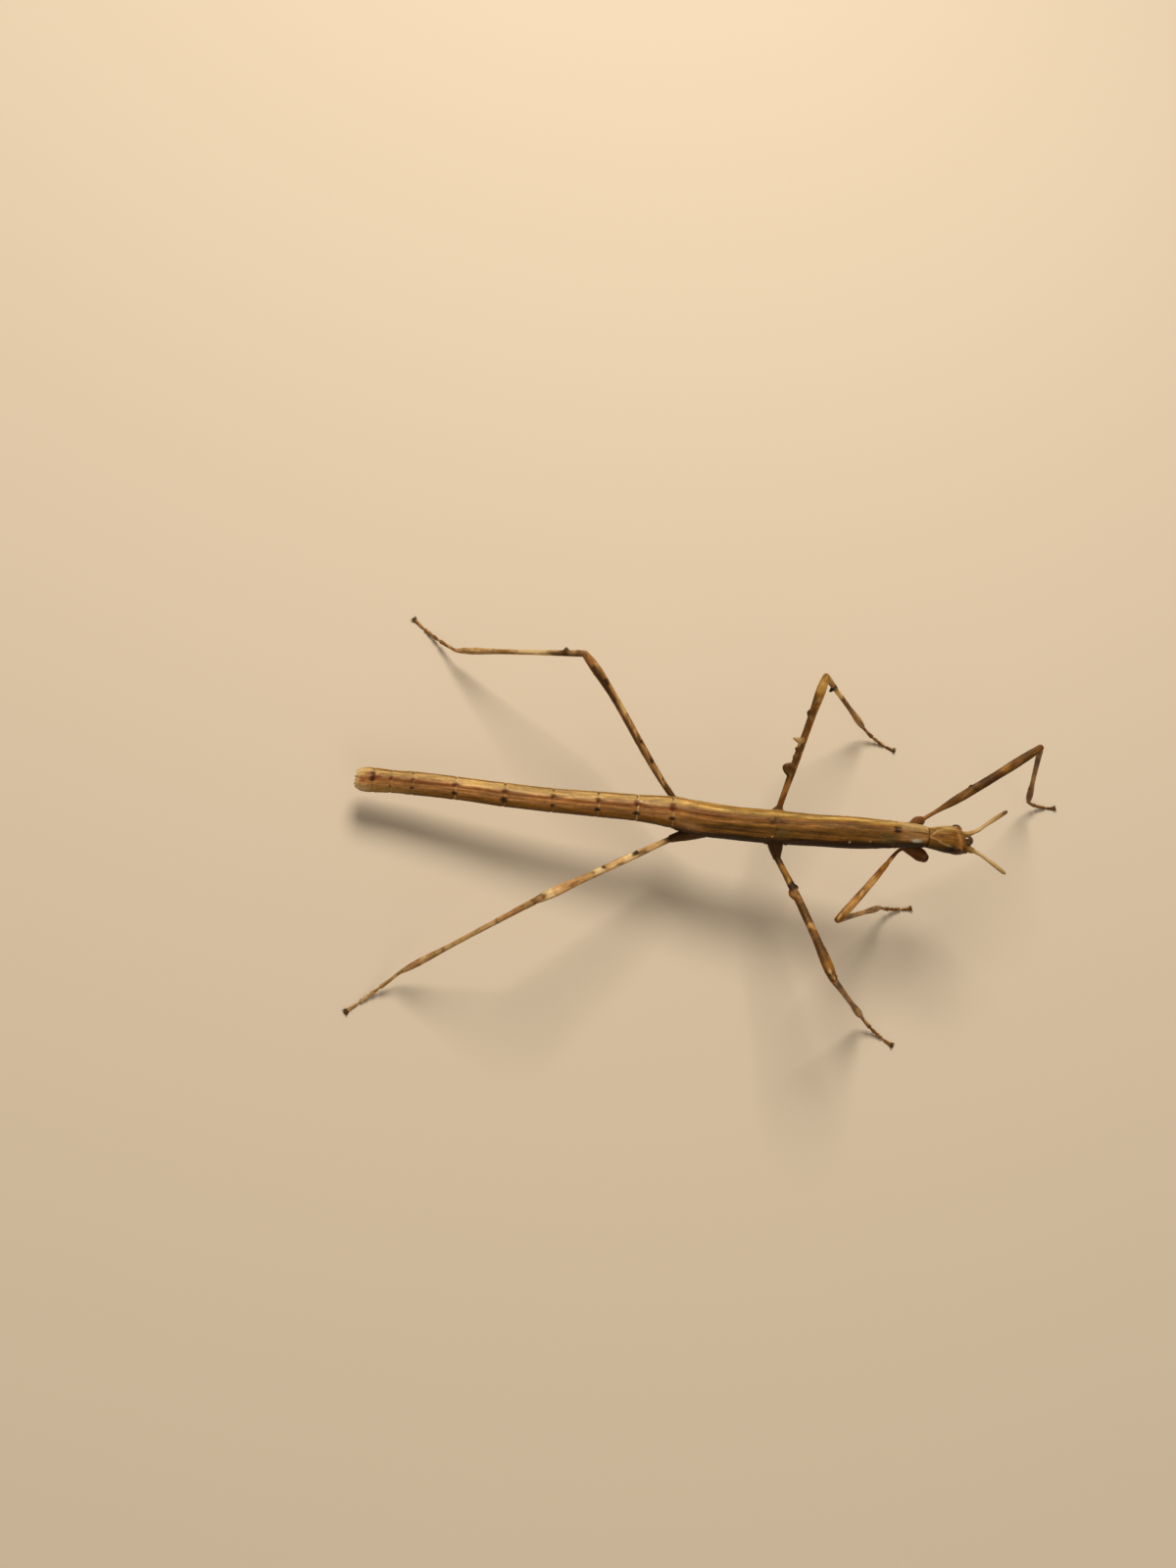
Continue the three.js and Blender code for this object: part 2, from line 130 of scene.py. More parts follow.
# The stance: hip is the end of the coxa in the trunk's frame. The femur's heading, lift and reach, the
# tibia's heading and the tarsus's heading follow, and a bent femur has two curve handles from the hip.
LEGS = {
    "fore_left": dict(
        hip=(69.3, 2.45, -1.4), femur=(36.5, 16.9, 17.8), tibia=-2.5, tarsus=7,
        handles=[(2.3, 1.7, 0.6), (7.0, 4.8, 2.6)],
    ),
    "fore_right": dict(
        hip=(69.8, 2.3, -1.7), femur=(141, 7.3, 15.8), tibia=-28, tarsus=-12,
        handles=[(-3.6, -1.9, -2.65), (-1.1, -2.8, 0.35)],
    ),
    "mid_left": dict(hip=(51.7, 2.4, -2.0), femur=(77.4, 18.5, 17.6), tibia=2.9, tarsus=-17),
    "mid_right": dict(
        hip=(51.6, 3.9, -2.1), femur=(73.3, 22, 17.6), tibia=5, tarsus=28,
        handles=[(1.98, 5.21, 2.2), (3.43, 10.42, 4.4)],
    ),
    "hind_left": dict(
        hip=(38.8, 2.1, -2.0), femur=(134.5, 17.8, 21.2), tibia=165.8, tarsus=142.5,
        handles=[(-5.23, 4.48, 2.16), (-8.66, 10.08, 4.32)],
    ),
    "hind_right": dict(hip=(38.6, 2.9, -1.95), femur=(145.2, 17.1, 21.2), tibia=150.4, tarsus=138),
}

# The camera, from the tail tip's place on the floor: where it stands, which way it looks, and which way its
# picture's right side points.
CAMERA_PLACE = (2.33, -47.84, 140.0)
CAMERA_FORWARD = (0.1762, 0.3513, -0.9195)
CAMERA_RIGHT = (0.9725, 0.0827, 0.2179)
LENS = 27.0
SENSOR = 36.0

# ---------------- small tools

WAVES = 7  # sine waves in a ripple


def hermite(rows):
    """A smooth curve through rows of (place, value, value, ...), read back at any places."""
    table = np.array(rows, float)
    places, values = table[:, 0], table[:, 1:]
    slopes = np.gradient(values, places, axis=0)

    def at(x):
        x = np.clip(np.asarray(x, float), places[0], places[-1])
        k = np.clip(np.searchsorted(places, x, side="right") - 1, 0, len(places) - 2)
        span = places[k + 1] - places[k]
        t = ((x - places[k]) / span)[..., None]
        span = span[..., None]
        return (
            (2 * t**3 - 3 * t**2 + 1) * values[k]
            + (t**3 - 2 * t**2 + t) * span * slopes[k]
            + (3 * t**2 - 2 * t**3) * values[k + 1]
            + (t**3 - t**2) * span * slopes[k + 1]
        )

    return at


def linear(color):
    """An everyday colour, 0 to 255, as the linear light that Blender wants."""
    c = np.array(color, float) / 255
    return np.where(c <= 0.04045, c / 12.92, ((c + 0.055) / 1.055) ** 2.4)


def through(rows):
    """A smooth curve through rows of values, read back by their numbers: 0 is the first row."""
    return hermite([(i, *row) for i, row in enumerate(rows)])


def hill(x, middle, width):
    return np.exp(-(((x - middle) / width) ** 2))


def step(x, edge, width):
    return 1 / (1 + np.exp(-np.clip((x - edge) / width, -40, 40)))


def blend(a, b, amount):
    return a + (b - a) * np.clip(amount, 0, 1)[..., None]


def ripple(a, b, seed, scale=1.0):
    """A soft irregular field between about -1 and 1 over two coordinates."""
    rng = np.random.RandomState(seed)
    total = 0
    for _ in range(WAVES):
        wave = rng.normal(0, 1, 2) * scale
        total = total + np.sin(wave[0] * a + wave[1] * b + rng.uniform(0, 2 * np.pi))
    return total * 2 / WAVES


def unit(v):
    v = np.asarray(v, float)
    return v / np.linalg.norm(v, axis=-1, keepdims=True)


def travelled(path):
    """How far along a path each of its points is."""
    return np.concatenate([[0], np.cumsum(np.linalg.norm(np.diff(path, axis=0), axis=1))])


def around(sides):
    """Turns around a ring, in radians, once round from underneath."""
    return np.linspace(-np.pi, np.pi, sides, endpoint=False)


def grid(along, sides):
    """Two tables of the same size: places along a piece, and turns around it."""
    return np.meshgrid(along, around(sides), indexing="ij")


def grain_at(along, turn, girth=1):
    """Where the material's noise is read: along a piece and around it."""
    return np.stack([along, girth * np.cos(turn), girth * np.sin(turn)], -1)


def wrapped(middle, ahead, wide, high, turn, sky=(0, 0, 1.0)):
    """Rings around a path. wide and high are half thicknesses, for each point or each point and turn."""
    across = unit(np.cross(np.broadcast_to(sky, ahead.shape), ahead))
    up = np.cross(ahead, across)[:, None]
    rise, aside = high * np.cos(turn), wide * np.sin(turn)
    return middle[:, None] + rise[..., None] * up - aside[..., None] * across[:, None]


def rod(points, radii, sides, per_point, sky=(0, 0, 1.0)):
    """Rings along a smooth path through the points, with a radius at each of them."""
    s = np.linspace(0, len(points) - 1, per_point * len(points))
    middle, radius = through(points)(s), through([(r,) for r in radii])(s)
    return wrapped(middle, unit(np.gradient(middle, axis=0)), radius, radius, around(sides), sky)


def trunk_point(x, y, z):
    """A place in the trunk's frame as one in the frame on the floor under the tail tip."""
    c, s = math.cos(PITCH), math.sin(PITCH)
    return np.stack(np.broadcast_arrays(x * c - z * s, y, TAIL_HEIGHT + x * s + z * c), -1)


def in_trunk(local):
    return trunk_point(local[..., 0], local[..., 1], local[..., 2])


def direction(heading, lift, sign):
    """A heading out from straight ahead and a lift, in degrees, as a vector. sign is 1 on the left."""
    h, e = math.radians(heading), math.radians(lift)
    return np.array([math.cos(h) * math.cos(e), sign * math.sin(h) * math.cos(e), math.sin(e)])


def eye_middle(side):
    low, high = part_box(f"eye_{side}")
    return np.array((low + high) / 2) / MM


# The floor's origin is under the middle of the insect. The eyes say where the tail tip is from there.
eyes_between = (eye_middle("left") + eye_middle("right")) / 2
ORIGIN = eyes_between - trunk_point(EYE_PLACE[0], HEAD_SHIFT, EYE_PLACE[2])
ORIGIN[2] = 0


def set_all(thing, **values):
    for key, value in values.items():
        setattr(thing, key, value)
    return thing


def placed(name, data):
    """A new object in the scene: a mesh, a lamp or a camera."""
    thing = bpy.data.objects.new(name, data)
    bpy.context.scene.collection.objects.link(thing)
    return thing


def walls(steps, sides):
    """The faces between the rings of a tube, by the numbers of their points."""
    faces = []
    for start in range(0, (steps - 1) * sides, sides):
        for j in range(sides):
            a, b = start + j, start + (j + 1) % sides
            faces.append((a, b, b + sides, a + sides))
    return faces


class Skin:
    """A mesh that grows piece by piece, and the tint, grain and gloss of its points for the material."""

    def __init__(self):
        self.rows, self.faces, self.count = [], [], 0

    def add(self, points, faces, tint, grain, gloss=0.0):
        fields = [np.broadcast_to(field, points.shape) for field in (points, tint, grain)]
        self.rows.append(np.column_stack([*fields, np.broadcast_to(gloss, len(points))]))
        self.faces += [tuple(int(i) + self.count for i in face) for face in faces]
        self.count += len(points)

    def tube(self, rings, tint, grain):
        """A closed tube from an array of rings of points. Its ends are fans to their middles."""
        steps, sides = rings.shape[:2]
        first, last = steps * sides, steps * sides + 1
        faces = walls(steps, sides)
        for j in range(sides):
            k = (j + 1) % sides
            faces += [(first, k, j), (last, (steps - 1) * sides + j, (steps - 1) * sides + k)]

        def with_ends(field):
            field = np.broadcast_to(field, rings.shape)
            return np.concatenate([field.reshape(-1, 3), field[:1].mean(1), field[-1:].mean(1)])

        self.add(with_ends(rings), faces, with_ends(tint), with_ends(grain))

    def build(self, name, material):
        points, tint, grain, gloss = np.split(np.concatenate(self.rows), [3, 6, 9], axis=1)
        mesh = bpy.data.meshes.new(name)
        mesh.from_pydata(((points + ORIGIN) * MM).tolist(), [], self.faces)
        for attribute, kind, key, values in (
            ("tint", "FLOAT_COLOR", "color", np.column_stack([tint, np.ones(self.count)])),
            ("grain", "FLOAT_VECTOR", "vector", grain),
            ("gloss", "FLOAT", "value", gloss),
        ):
            data = mesh.attributes.new(attribute, kind, "POINT").data
            data.foreach_set(key, values.astype(np.float32).ravel())
        mesh.polygons.foreach_set("use_smooth", [True] * len(mesh.polygons))
        mesh.materials.append(material)
        mesh.update()
        return placed(name, mesh)


# ---------------- markings

CREAM = linear((226, 190, 130))
STRAW = linear((200, 155, 96))
GOLD = linear((184, 144, 76))
TAN = linear((164, 110, 60))
OCHRE = linear((150, 104, 36))
BROWN = linear((128, 82, 25))
RUST = linear((108, 56, 13))
UMBER = linear((86, 54, 15))
OLIVE = linear((92, 74, 36))
SHADE = linear((58, 33, 8))
BLACK = linear((30, 15, 5))
WHITE = linear((236, 220, 186))
DRIED = linear((74, 32, 6))
WINE = linear((64, 16, 5))
BRICK = linear((132, 58, 18))
CINNAMON = linear((132, 64, 24))
KNOB_DARK = linear((40, 33, 15))
EYE_BROWN = linear((116, 56, 22))
EYE_DARK = linear((54, 24, 8))
PAPER = linear((214, 192, 162))
DARKEST, LIGHTEST = 0.002, 0.9

# Bands along the trunk, by degrees around it from the top: left is positive. The right side is darker than
# the left, partly the insect's own colour and partly painted shade on the side away from the key light.
ABDOMEN_BANDS_AND_SIDE_SHADE = [
    (-180, TAN), (-140, BROWN), (-110, UMBER), (-84, UMBER), (-66, BROWN), (-52, BROWN), (-40, TAN * 1.1),
    (-33, TAN * 1.2), (-29, BROWN * 1.3), (-24, TAN * 1.3), (-17, TAN * 1.1), (-12, RUST * 1.4),
    (-8, RUST * 1.4), (-3, TAN), (4, STRAW), (12, STRAW), (24, GOLD), (36, STRAW),
    (46, OLIVE * 0.6 + OCHRE * 0.4), (56, OCHRE * 0.9), (66, GOLD), (84, OCHRE), (110, BROWN), (140, BROWN),
    (180, TAN),
]
THORAX_BANDS_AND_SIDE_SHADE = [
    (-180, UMBER), (-140, UMBER), (-110, SHADE), (-95, SHADE * 0.6), (-72, SHADE * 0.6), (-62, SHADE * 1.4),
    (-54, BROWN), (-47, BROWN), (-42, UMBER * 1.4), (-33, UMBER * 1.4), (-26, UMBER * 1.5), (-19, BROWN),
    (-14, TAN), (-9, BROWN), (-4, BROWN), (1, RUST * 0.9), (6, BROWN), (12, BROWN), (17, OCHRE), (23, GOLD),
    (31, GOLD), (38, OCHRE), (48, OCHRE), (60, GOLD), (74, BROWN), (95, UMBER), (125, SHADE), (180, UMBER),
]
# Marks at the abdomen's boundaries: place, then the sizes of the right, middle and left dark marks and the
# strength of the pale line.
EDGE_MARKS = [
    (2.25, 0.25, 0.6, 0.3, 0.3), (4.3, 0.4, 0.55, 0.3, 0.2), (6.9, 0.75, 0.5, 0.9, 0.25),
    (12.0, 0.95, 1.1, 0.7, 0.6), (17.95, 1.2, 1.0, 1.0, 0.4), (23.8, 0.9, 0.9, 1.0, 0.3),
    (29.2, 1.0, 0.9, 1.0, 0.35), (33.9, 1.15, 1.1, 0.8, 0.9), (38.2, 1.0, 1.2, 0.9, 0.5),
]
# Broad soft patches and spots: place, angle, half length in mm, half width in degrees, colour, strength.
ABDOMEN_PATCHES = [
    (9.5, 9, 2.6, 9, RUST * 1.3, 0.7), (4.6, 8, 2.4, 10, RUST * 1.3, 0.6),
    (4.6, -3, 2.2, 6, RUST * 0.7, 0.6), (31.7, 9, 2.4, 9, RUST * 1.3, 0.65), (26.5, 10, 3.0, 8, BROWN, 0.3),
    (9.5, -14, 2.6, 6, RUST * 0.6, 0.6), (29.0, -14, 4.5, 6, RUST * 0.6, 0.5),
    (29.5, -37, 4.5, 8, UMBER, 0.6), (3.5, -70, 3.5, 22, GOLD, 0.6),
]
THORAX_PATCHES = [(64.6, -38, 1.4, 20, OLIVE, 0.75), (51.5, -38, 0.8, 24, OLIVE, 0.75)]
# The last segment has a dark double spot and red smears. The joint behind the mesothorax has dark spots,
# and the ridge along its side has pale ticks.
TAIL_SPOTS = [
    (2.05, 16, 0.42, 13, WINE, 0.97), (2.15, -10, 0.42, 13, WINE, 0.97), (1.5, 10, 0.4, 12, BRICK, 0.65),
    (2.8, 2, 0.5, 9, BRICK, 0.65), (1.0, -22, 0.4, 8, BRICK, 0.65), (11.0, -2, 0.9, 8, BRICK, 0.65),
]
THORAX_SPOTS = [
    (*spot, SHADE * 1.4, 0.8)
    for spot in (
        (50.7, 11, 0.4, 6), (50.3, -4, 0.45, 5), (51.3, 3, 0.3, 4), (49.8, 5, 0.3, 4), (50.9, -24, 0.25, 6),
    )
] + [
    (*tick, 0.14, 2.2, CREAM, 0.6)
    for tick in ((49.6, -60), (50.4, -56), (58.2, -50), (59.8, -54), (62.3, -48))
]
# A pale spot on the right of the pronotum, and two dark dots just behind it.
PRONOTUM_SPOTS = [
    (67.95, -43, 0.7, 8, WHITE * 0.85, 0.9),
    (65.5, 12, 0.5, 8, BLACK, 0.97), (65.5, -4, 0.5, 8, BLACK, 0.97),
]
SHARP, SOFT = 2.2, 1  # how a spot and a patch end
WANDER, FINE_WANDER = 3.5, 2.5  # degrees that a band's edge wanders
MESO_TURN = 9  # degrees that the bands are turned by from the mesothorax on


def banded(bands, turn):
    places = [a for a, _ in bands]
    table = np.array([c for _, c in bands])
    return np.stack([np.interp(turn, places, table[:, k]) for k in range(3)], -1)


def layered(tint, *layers):
    """Layers of colour laid over a tint one by one, each with its amount."""
    for color, amount in layers:
        tint = blend(tint, color, amount)
    return tint


def shaded(tint, change):
    """The tint made lighter or darker by a share."""
    return tint * (1 + change)[..., None]


def held(tint):
    return np.clip(tint, DARKEST, LIGHTEST)


def spotted(tint, x, turn, spots, edge=SHARP):
    for place, angle, length, width, color, strength in spots:
        away = ((x - place) / length) ** 2 + ((turn - angle) / width) ** 2
        tint = blend(tint, color, strength * np.exp(-(away**edge)))
    return tint


def streaked(tint, x, turn, seed, strength):
    """Broken dark and pale streaks, and longer lines, over a banded tint."""
    dark = step(ripple(x, turn / 7, seed, 1.7), 0.42, 0.1)
    pale = step(ripple(x, turn / 8, seed + 1, 1.5), 0.46, 0.1)
    dark_lines = step(ripple(0.2 * x, turn / 6, seed + 3, 1.8), 0.34, 0.12)
    pale_lines = step(ripple(0.2 * x, turn / 6, seed + 4, 1.8), 0.4, 0.12)
    for change, streaks in ((-0.42, dark), (0.4, pale), (-0.4, dark_lines), (0.35, pale_lines)):
        tint = shaded(tint, change * strength * streaks)
    return shaded(tint, 0.14 * ripple(x, turn / 25, seed + 2, 0.9))


def trunk_tint(x, turn):
    """Colour at distances along the trunk and turns around it, in degrees."""
    wander = WANDER * ripple(x, turn / 40, 3, 0.5) + FINE_WANDER * ripple(x, turn / 15, 4, 2.0)
    # the banded tint holds painted shade along the right side
    thorax = banded(THORAX_BANDS_AND_SIDE_SHADE, turn + wander - MESO_TURN * step(x, 52, 1.5))
    abdomen = banded(ABDOMEN_BANDS_AND_SIDE_SHADE, turn + 0.8 * wander)
    gap = step(ripple(x, turn / 12, 19, 1.3), 0.1, 0.2) * hill(turn, -10, 9)
    abdomen = blend(abdomen, TAN, 0.35 * gap)
    front = step(x, THORAX_BACK, 1.0)
    tint = streaked(blend(abdomen, thorax, front), x, turn, 5, 0.45 + 0.3 * front)
    tint = shaded(tint, -0.1 * hill(x, 46, 5))
    tint = spotted(tint, x, turn, ABDOMEN_PATCHES, SOFT)
    near_top = np.exp(-((turn / 95) ** 4))
    patchy = 0.5 + 0.5 * ripple(x, turn / 9, 15, 1.0)
    ragged = turn + 4 * ripple(x, turn / 8, 18, 2.6)
    for edge, strength in EDGES:
        tint = spotted(tint, x, turn, [(edge + 0.5, -3, 0.45, 14, RUST, 0.5 * strength)], SOFT)
        tint = blend(tint, UMBER, 0.3 * strength * hill(x, edge - 0.06, 0.1) * patchy)
    for edge, right, middle, left, pale in EDGE_MARKS:
        tint = blend(tint, CREAM, pale * hill(x, edge + 0.12, 0.08) * near_top * (1 - patchy * (1 - pale)))
        tint = spotted(tint, x, turn, [(edge + 0.4, 12, 0.2, 6, CREAM, pale)])
        tint = spotted(tint, x, ragged, [
            (edge + 0.05, 2, 0.5 * middle, 13 * middle, RUST * 0.9, 0.95),
            (edge - 0.05, -3, 0.3 * middle, 8 * middle, DRIED, 0.9),
            (edge, -43, 0.42 * right, 11 * right, BLACK, 0.97),
        ])
        tint = spotted(tint, x, turn, [(edge, 39, 0.16 * left, 9 * left, SHADE, 0.9)])
    tint = spotted(tint, x, ragged, TAIL_SPOTS)
    # the tail's pale rim and corners
    tint = layered(
        tint,
        (CREAM, 0.7 * step(-x, -0.4, 0.14)),
        (CREAM, 0.55 * step(-x, -1.5, 0.3) * (hill(turn, 45, 22) + hill(turn, -62, 20))),
    )
    tint = spotted(tint, x, turn, THORAX_PATCHES, SOFT)
    tint = spotted(tint, x, ragged, THORAX_SPOTS)
    # a grey patch over the right hind coxa, a red one on the metathorax, and dark lines beside the midline
    mesothorax = step(x, 53, 1) * step(-x, -65, 0.5)
    tint = spotted(tint, x, turn, [
        (40.4, -56, 1.3, 13, TAN * 0.7 + CREAM * 0.25, 0.85 * (0.5 + 0.5 * patchy)),
        (42, 6, 3.2, 14, CINNAMON, 0.45),
    ], SOFT)
    tint = layered(
        tint,
        (UMBER, 0.4 * front * step(-x, -50, 1) * hill(turn, 10, 6)),
        (UMBER, 0.4 * mesothorax * (hill(turn, 4, 4) + 0.7 * hill(turn, 52, 9))),
    )
    # the pronotum: a pale left side, a dark line beside the midline and a dark lower right edge, which is
    # partly its own colour and partly painted shade
    pronotum = step(x, PRONOTUM_BACK, 0.25) * step(-x, -EDGES[-1][0], 0.1)
    arc = 0.5 + 0.5 * ripple(x, turn / 14, 17, 1.8)
    for angle, width, color, strength in (
        (20, 19, TAN * 0.28 + GOLD * 0.32 + CREAM * 0.15, 0.85),
        (54, 24, CREAM * 0.6 + GOLD * 0.15, 0.45 + 0.4 * arc),
        (-27, 13, TAN * 0.8 + CREAM * 0.15, 0.8),
        (-4, 7, UMBER, 0.85 * step(x, PRONOTUM_GROOVE, 0.5)),
        (-72, 13, SHADE * 0.5, 0.9),
    ):
        tint = blend(tint, color, strength * pronotum * hill(turn, angle, width))
    return held(spotted(tint, x, turn, PRONOTUM_SPOTS))


# Bands around the head, by degrees from the top. The darker right side is partly the head's own colour and
# partly painted shade.
HEAD_BANDS_AND_SIDE_SHADE = [
    (-180, UMBER), (-125, UMBER), (-100, SHADE), (-74, SHADE), (-60, UMBER), (-44, BROWN), (-30, BROWN),
    (-18, BROWN), (0, RUST * 0.5 + BROWN * 0.5), (10, BROWN * 0.9), (24, OCHRE * 0.75), (36, OCHRE),
    (48, GOLD), (60, STRAW), (76, OCHRE), (100, BROWN), (130, UMBER), (180, UMBER),
]
# Two pale lines that part from the neck: distances along the head, and the turns of each line there.
FORK = ((69.5, 70.3, 71.3, 72.4, 73.4), (-8, 20, 36, 44, 46), (-14, -28, -46, -60, -66))


def head_tint(x, turn):
    """Colour of the head, by the same two coordinates."""
    wander = 7 * ripple(x, turn / 30, 11, 1.6) + 6 * ripple(x, turn / 12, 16, 2.6)
    tint = streaked(banded(HEAD_BANDS_AND_SIDE_SHADE, turn + wander), x, turn, 12, 0.5)
    for line, sign in zip(FORK[1:], (1, -1)):
        gap = (turn + 0.5 * wander - np.interp(x, FORK[0], line)) * sign
        tint = layered(
            tint,
            (STRAW, 0.5 * hill(gap, 0, 6) * step(-x, -73.0, 0.3)),
            (UMBER, 0.3 * hill(gap, 11, 6) * step(-x, -72.8, 0.3)),
        )
    tint = spotted(tint, x, turn, [(70.95, -4, 0.42, 9, UMBER, 0.7)])
    # a dark bar and a slanting pale one between the eyes, then the brown face and the skin by the left eye
    tint = spotted(tint, x, turn, [(72.5, 0, 0.3, 40, UMBER, 0.45)], SOFT)
    tint = spotted(tint, x + 0.006 * turn, turn, [(73.2, -6, 0.26, 48, TAN * 1.15, 0.75)], SOFT)
    tint = spotted(tint, x, turn, [
        (74.1, -30, 0.4, 80, RUST * 0.7 + OCHRE * 0.3, 0.8), (73.15, 56, 0.5, 17, RUST, 0.9),
    ], SOFT)
    tint = blend(tint, SHADE, 0.45 * hill(x, HEAD_BACK + 0.05, 0.12))
    # painted shade: a near-black patch over the right eye and the cheek behind it, on the side away from
    # the key light
    return held(spotted(tint, x, turn, [(72.45, -72, 0.9, 26, BLACK, 0.97)]))


# Marks on the legs: share of the segment's length, half length of the mark as a share, colour, strength,
# and for a spot that doesn't go all round, its turn and half width in degrees.
LEG_MARKS = {
    "femur_fore_left": [
        (0.06, 0.08, TAN, 0.6), (0.26, 0.05, UMBER, 0.8), (0.44, 0.03, SHADE, 0.8),
        (0.57, 0.08, SHADE, 0.7), (0.7, 0.03, OCHRE, 0.6), (0.7, 0.25, SHADE, 0.7, 70, 50),
        (0.88, 0.05, UMBER, 0.7),
    ],
    "tibia_fore_left": [(0.2, 0.09, UMBER, 0.8), (0.52, 0.1, STRAW, 0.6), (0.85, 0.08, BROWN, 0.6)],
    "femur_fore_right": [(0.42, 0.05, BROWN, 0.8), (0.62, 0.08, STRAW, 0.6), (0.86, 0.08, STRAW, 0.5)],
    "tibia_fore_right": [(0.2, 0.08, UMBER, 0.7), (0.5, 0.1, STRAW, 0.6)],
    "femur_mid_left": [
        (0.05, 0.08, RUST, 0.75), (0.14, 0.05, TAN, 0.6), (0.27, 0.08, SHADE, 0.7), (0.33, 0.03, TAN, 0.6),
        (0.4, 0.14, SHADE, 0.75, -35, 70), (0.49, 0.03, CREAM, 0.9, -80, 40),
        (0.45, 0.2, STRAW, 0.6, 75, 36), (0.6, 0.07, UMBER, 0.8, -30, 60), (0.7, 0.045, SHADE, 0.8),
        (0.8, 0.06, UMBER, 0.8, -50, 55), (0.76, 0.12, STRAW, 0.6, 70, 40), (0.93, 0.07, GOLD, 0.8),
    ],
    "tibia_mid_left": [
        (0.05, 0.04, STRAW, 0.8), (0.2, 0.035, BLACK, 0.97), (0.3, 0.075, CREAM * 1.15, 0.97),
        (0.5, 0.12, BROWN, 0.6), (0.8, 0.1, STRAW, 0.5),
    ],
    "femur_mid_right": [
        (0.03, 0.06, SHADE, 0.9), (0.14, 0.06, OCHRE, 0.7), (0.22, 0.02, STRAW, 0.5, 50, 50),
        (0.27, 0.03, BLACK, 0.95), (0.33, 0.03, BROWN, 0.8), (0.47, 0.1, UMBER, 0.85),
        (0.6, 0.025, STRAW, 0.7), (0.76, 0.12, UMBER, 0.8), (0.9, 0.04, OCHRE, 0.7),
        (0.98, 0.015, UMBER, 0.8),
    ],
    "tibia_mid_right": [(0.1, 0.06, UMBER, 0.8), (0.25, 0.07, OCHRE, 0.6), (0.6, 0.1, BROWN, 0.5)],
    "femur_hind_left": [
        (0.05, 0.07, UMBER, 0.8), (0.15, 0.012, BLACK, 0.9, 10, 26), (0.28, 0.018, BLACK, 0.95, 0, 34),
        (0.46, 0.13, UMBER, 0.85, -60, 42), (0.41, 0.016, BLACK, 0.95, 5, 30),
        (0.62, 0.04, CREAM, 0.8, 30, 60), (0.8, 0.17, SHADE, 0.93, -48, 44),
        (0.8, 0.14, STRAW, 0.6, 60, 50), (0.8, 0.016, BLACK, 0.9, 0, 34), (0.95, 0.03, TAN, 0.8),
    ],
    "tibia_hind_left": [
        (0.03, 0.03, UMBER, 0.7), (0.13, 0.02, SHADE, 0.9), (0.17, 0.11, SHADE, 0.8, -70, 60),
        (0.38, 0.12, CREAM, 0.85), (0.6, 0.05, OCHRE, 0.7), (0.8, 0.12, STRAW, 0.5),
    ],
    "femur_hind_right": [
        (0.0, 0.05, SHADE, 0.95), (0.14, 0.07, STRAW, 0.6), (0.34, 0.035, CREAM, 0.9, 10, 60),
        (0.29, 0.022, BLACK, 0.97, 18, 40), (0.57, 0.04, CREAM, 0.9, 20, 60),
        (0.528, 0.015, BLACK, 0.95, 22, 34), (0.75, 0.12, TAN, 0.5), (0.93, 0.03, CREAM, 0.8),
        (0.97, 0.018, RUST, 0.8, -10, 35), (1.02, 0.03, TAN * 0.7, 0.7),
    ],
    "tibia_hind_right": [
        (0.02, 0.02, RUST, 0.8), (0.16, 0.1, TAN, 0.7), (0.28, 0.015, RUST, 0.6), (0.5, 0.15, STRAW, 0.8),
        (0.75, 0.04, BROWN, 0.5), (0.9, 0.06, TAN, 0.6),
    ],
}
LEG_WARMTH = np.array([0.97, 0.86, 0.68])  # all but the palest legs are redder than the trunk
LEG_BASE = {
    "fore_left": BROWN * 0.5 + UMBER * 0.5, "fore_right": BROWN, "mid_left": BROWN * 1.1,
    "mid_right": BROWN * 0.5 + OCHRE * 0.35, "hind_left": TAN * 0.45 + STRAW * 0.3, "hind_right": STRAW,
}


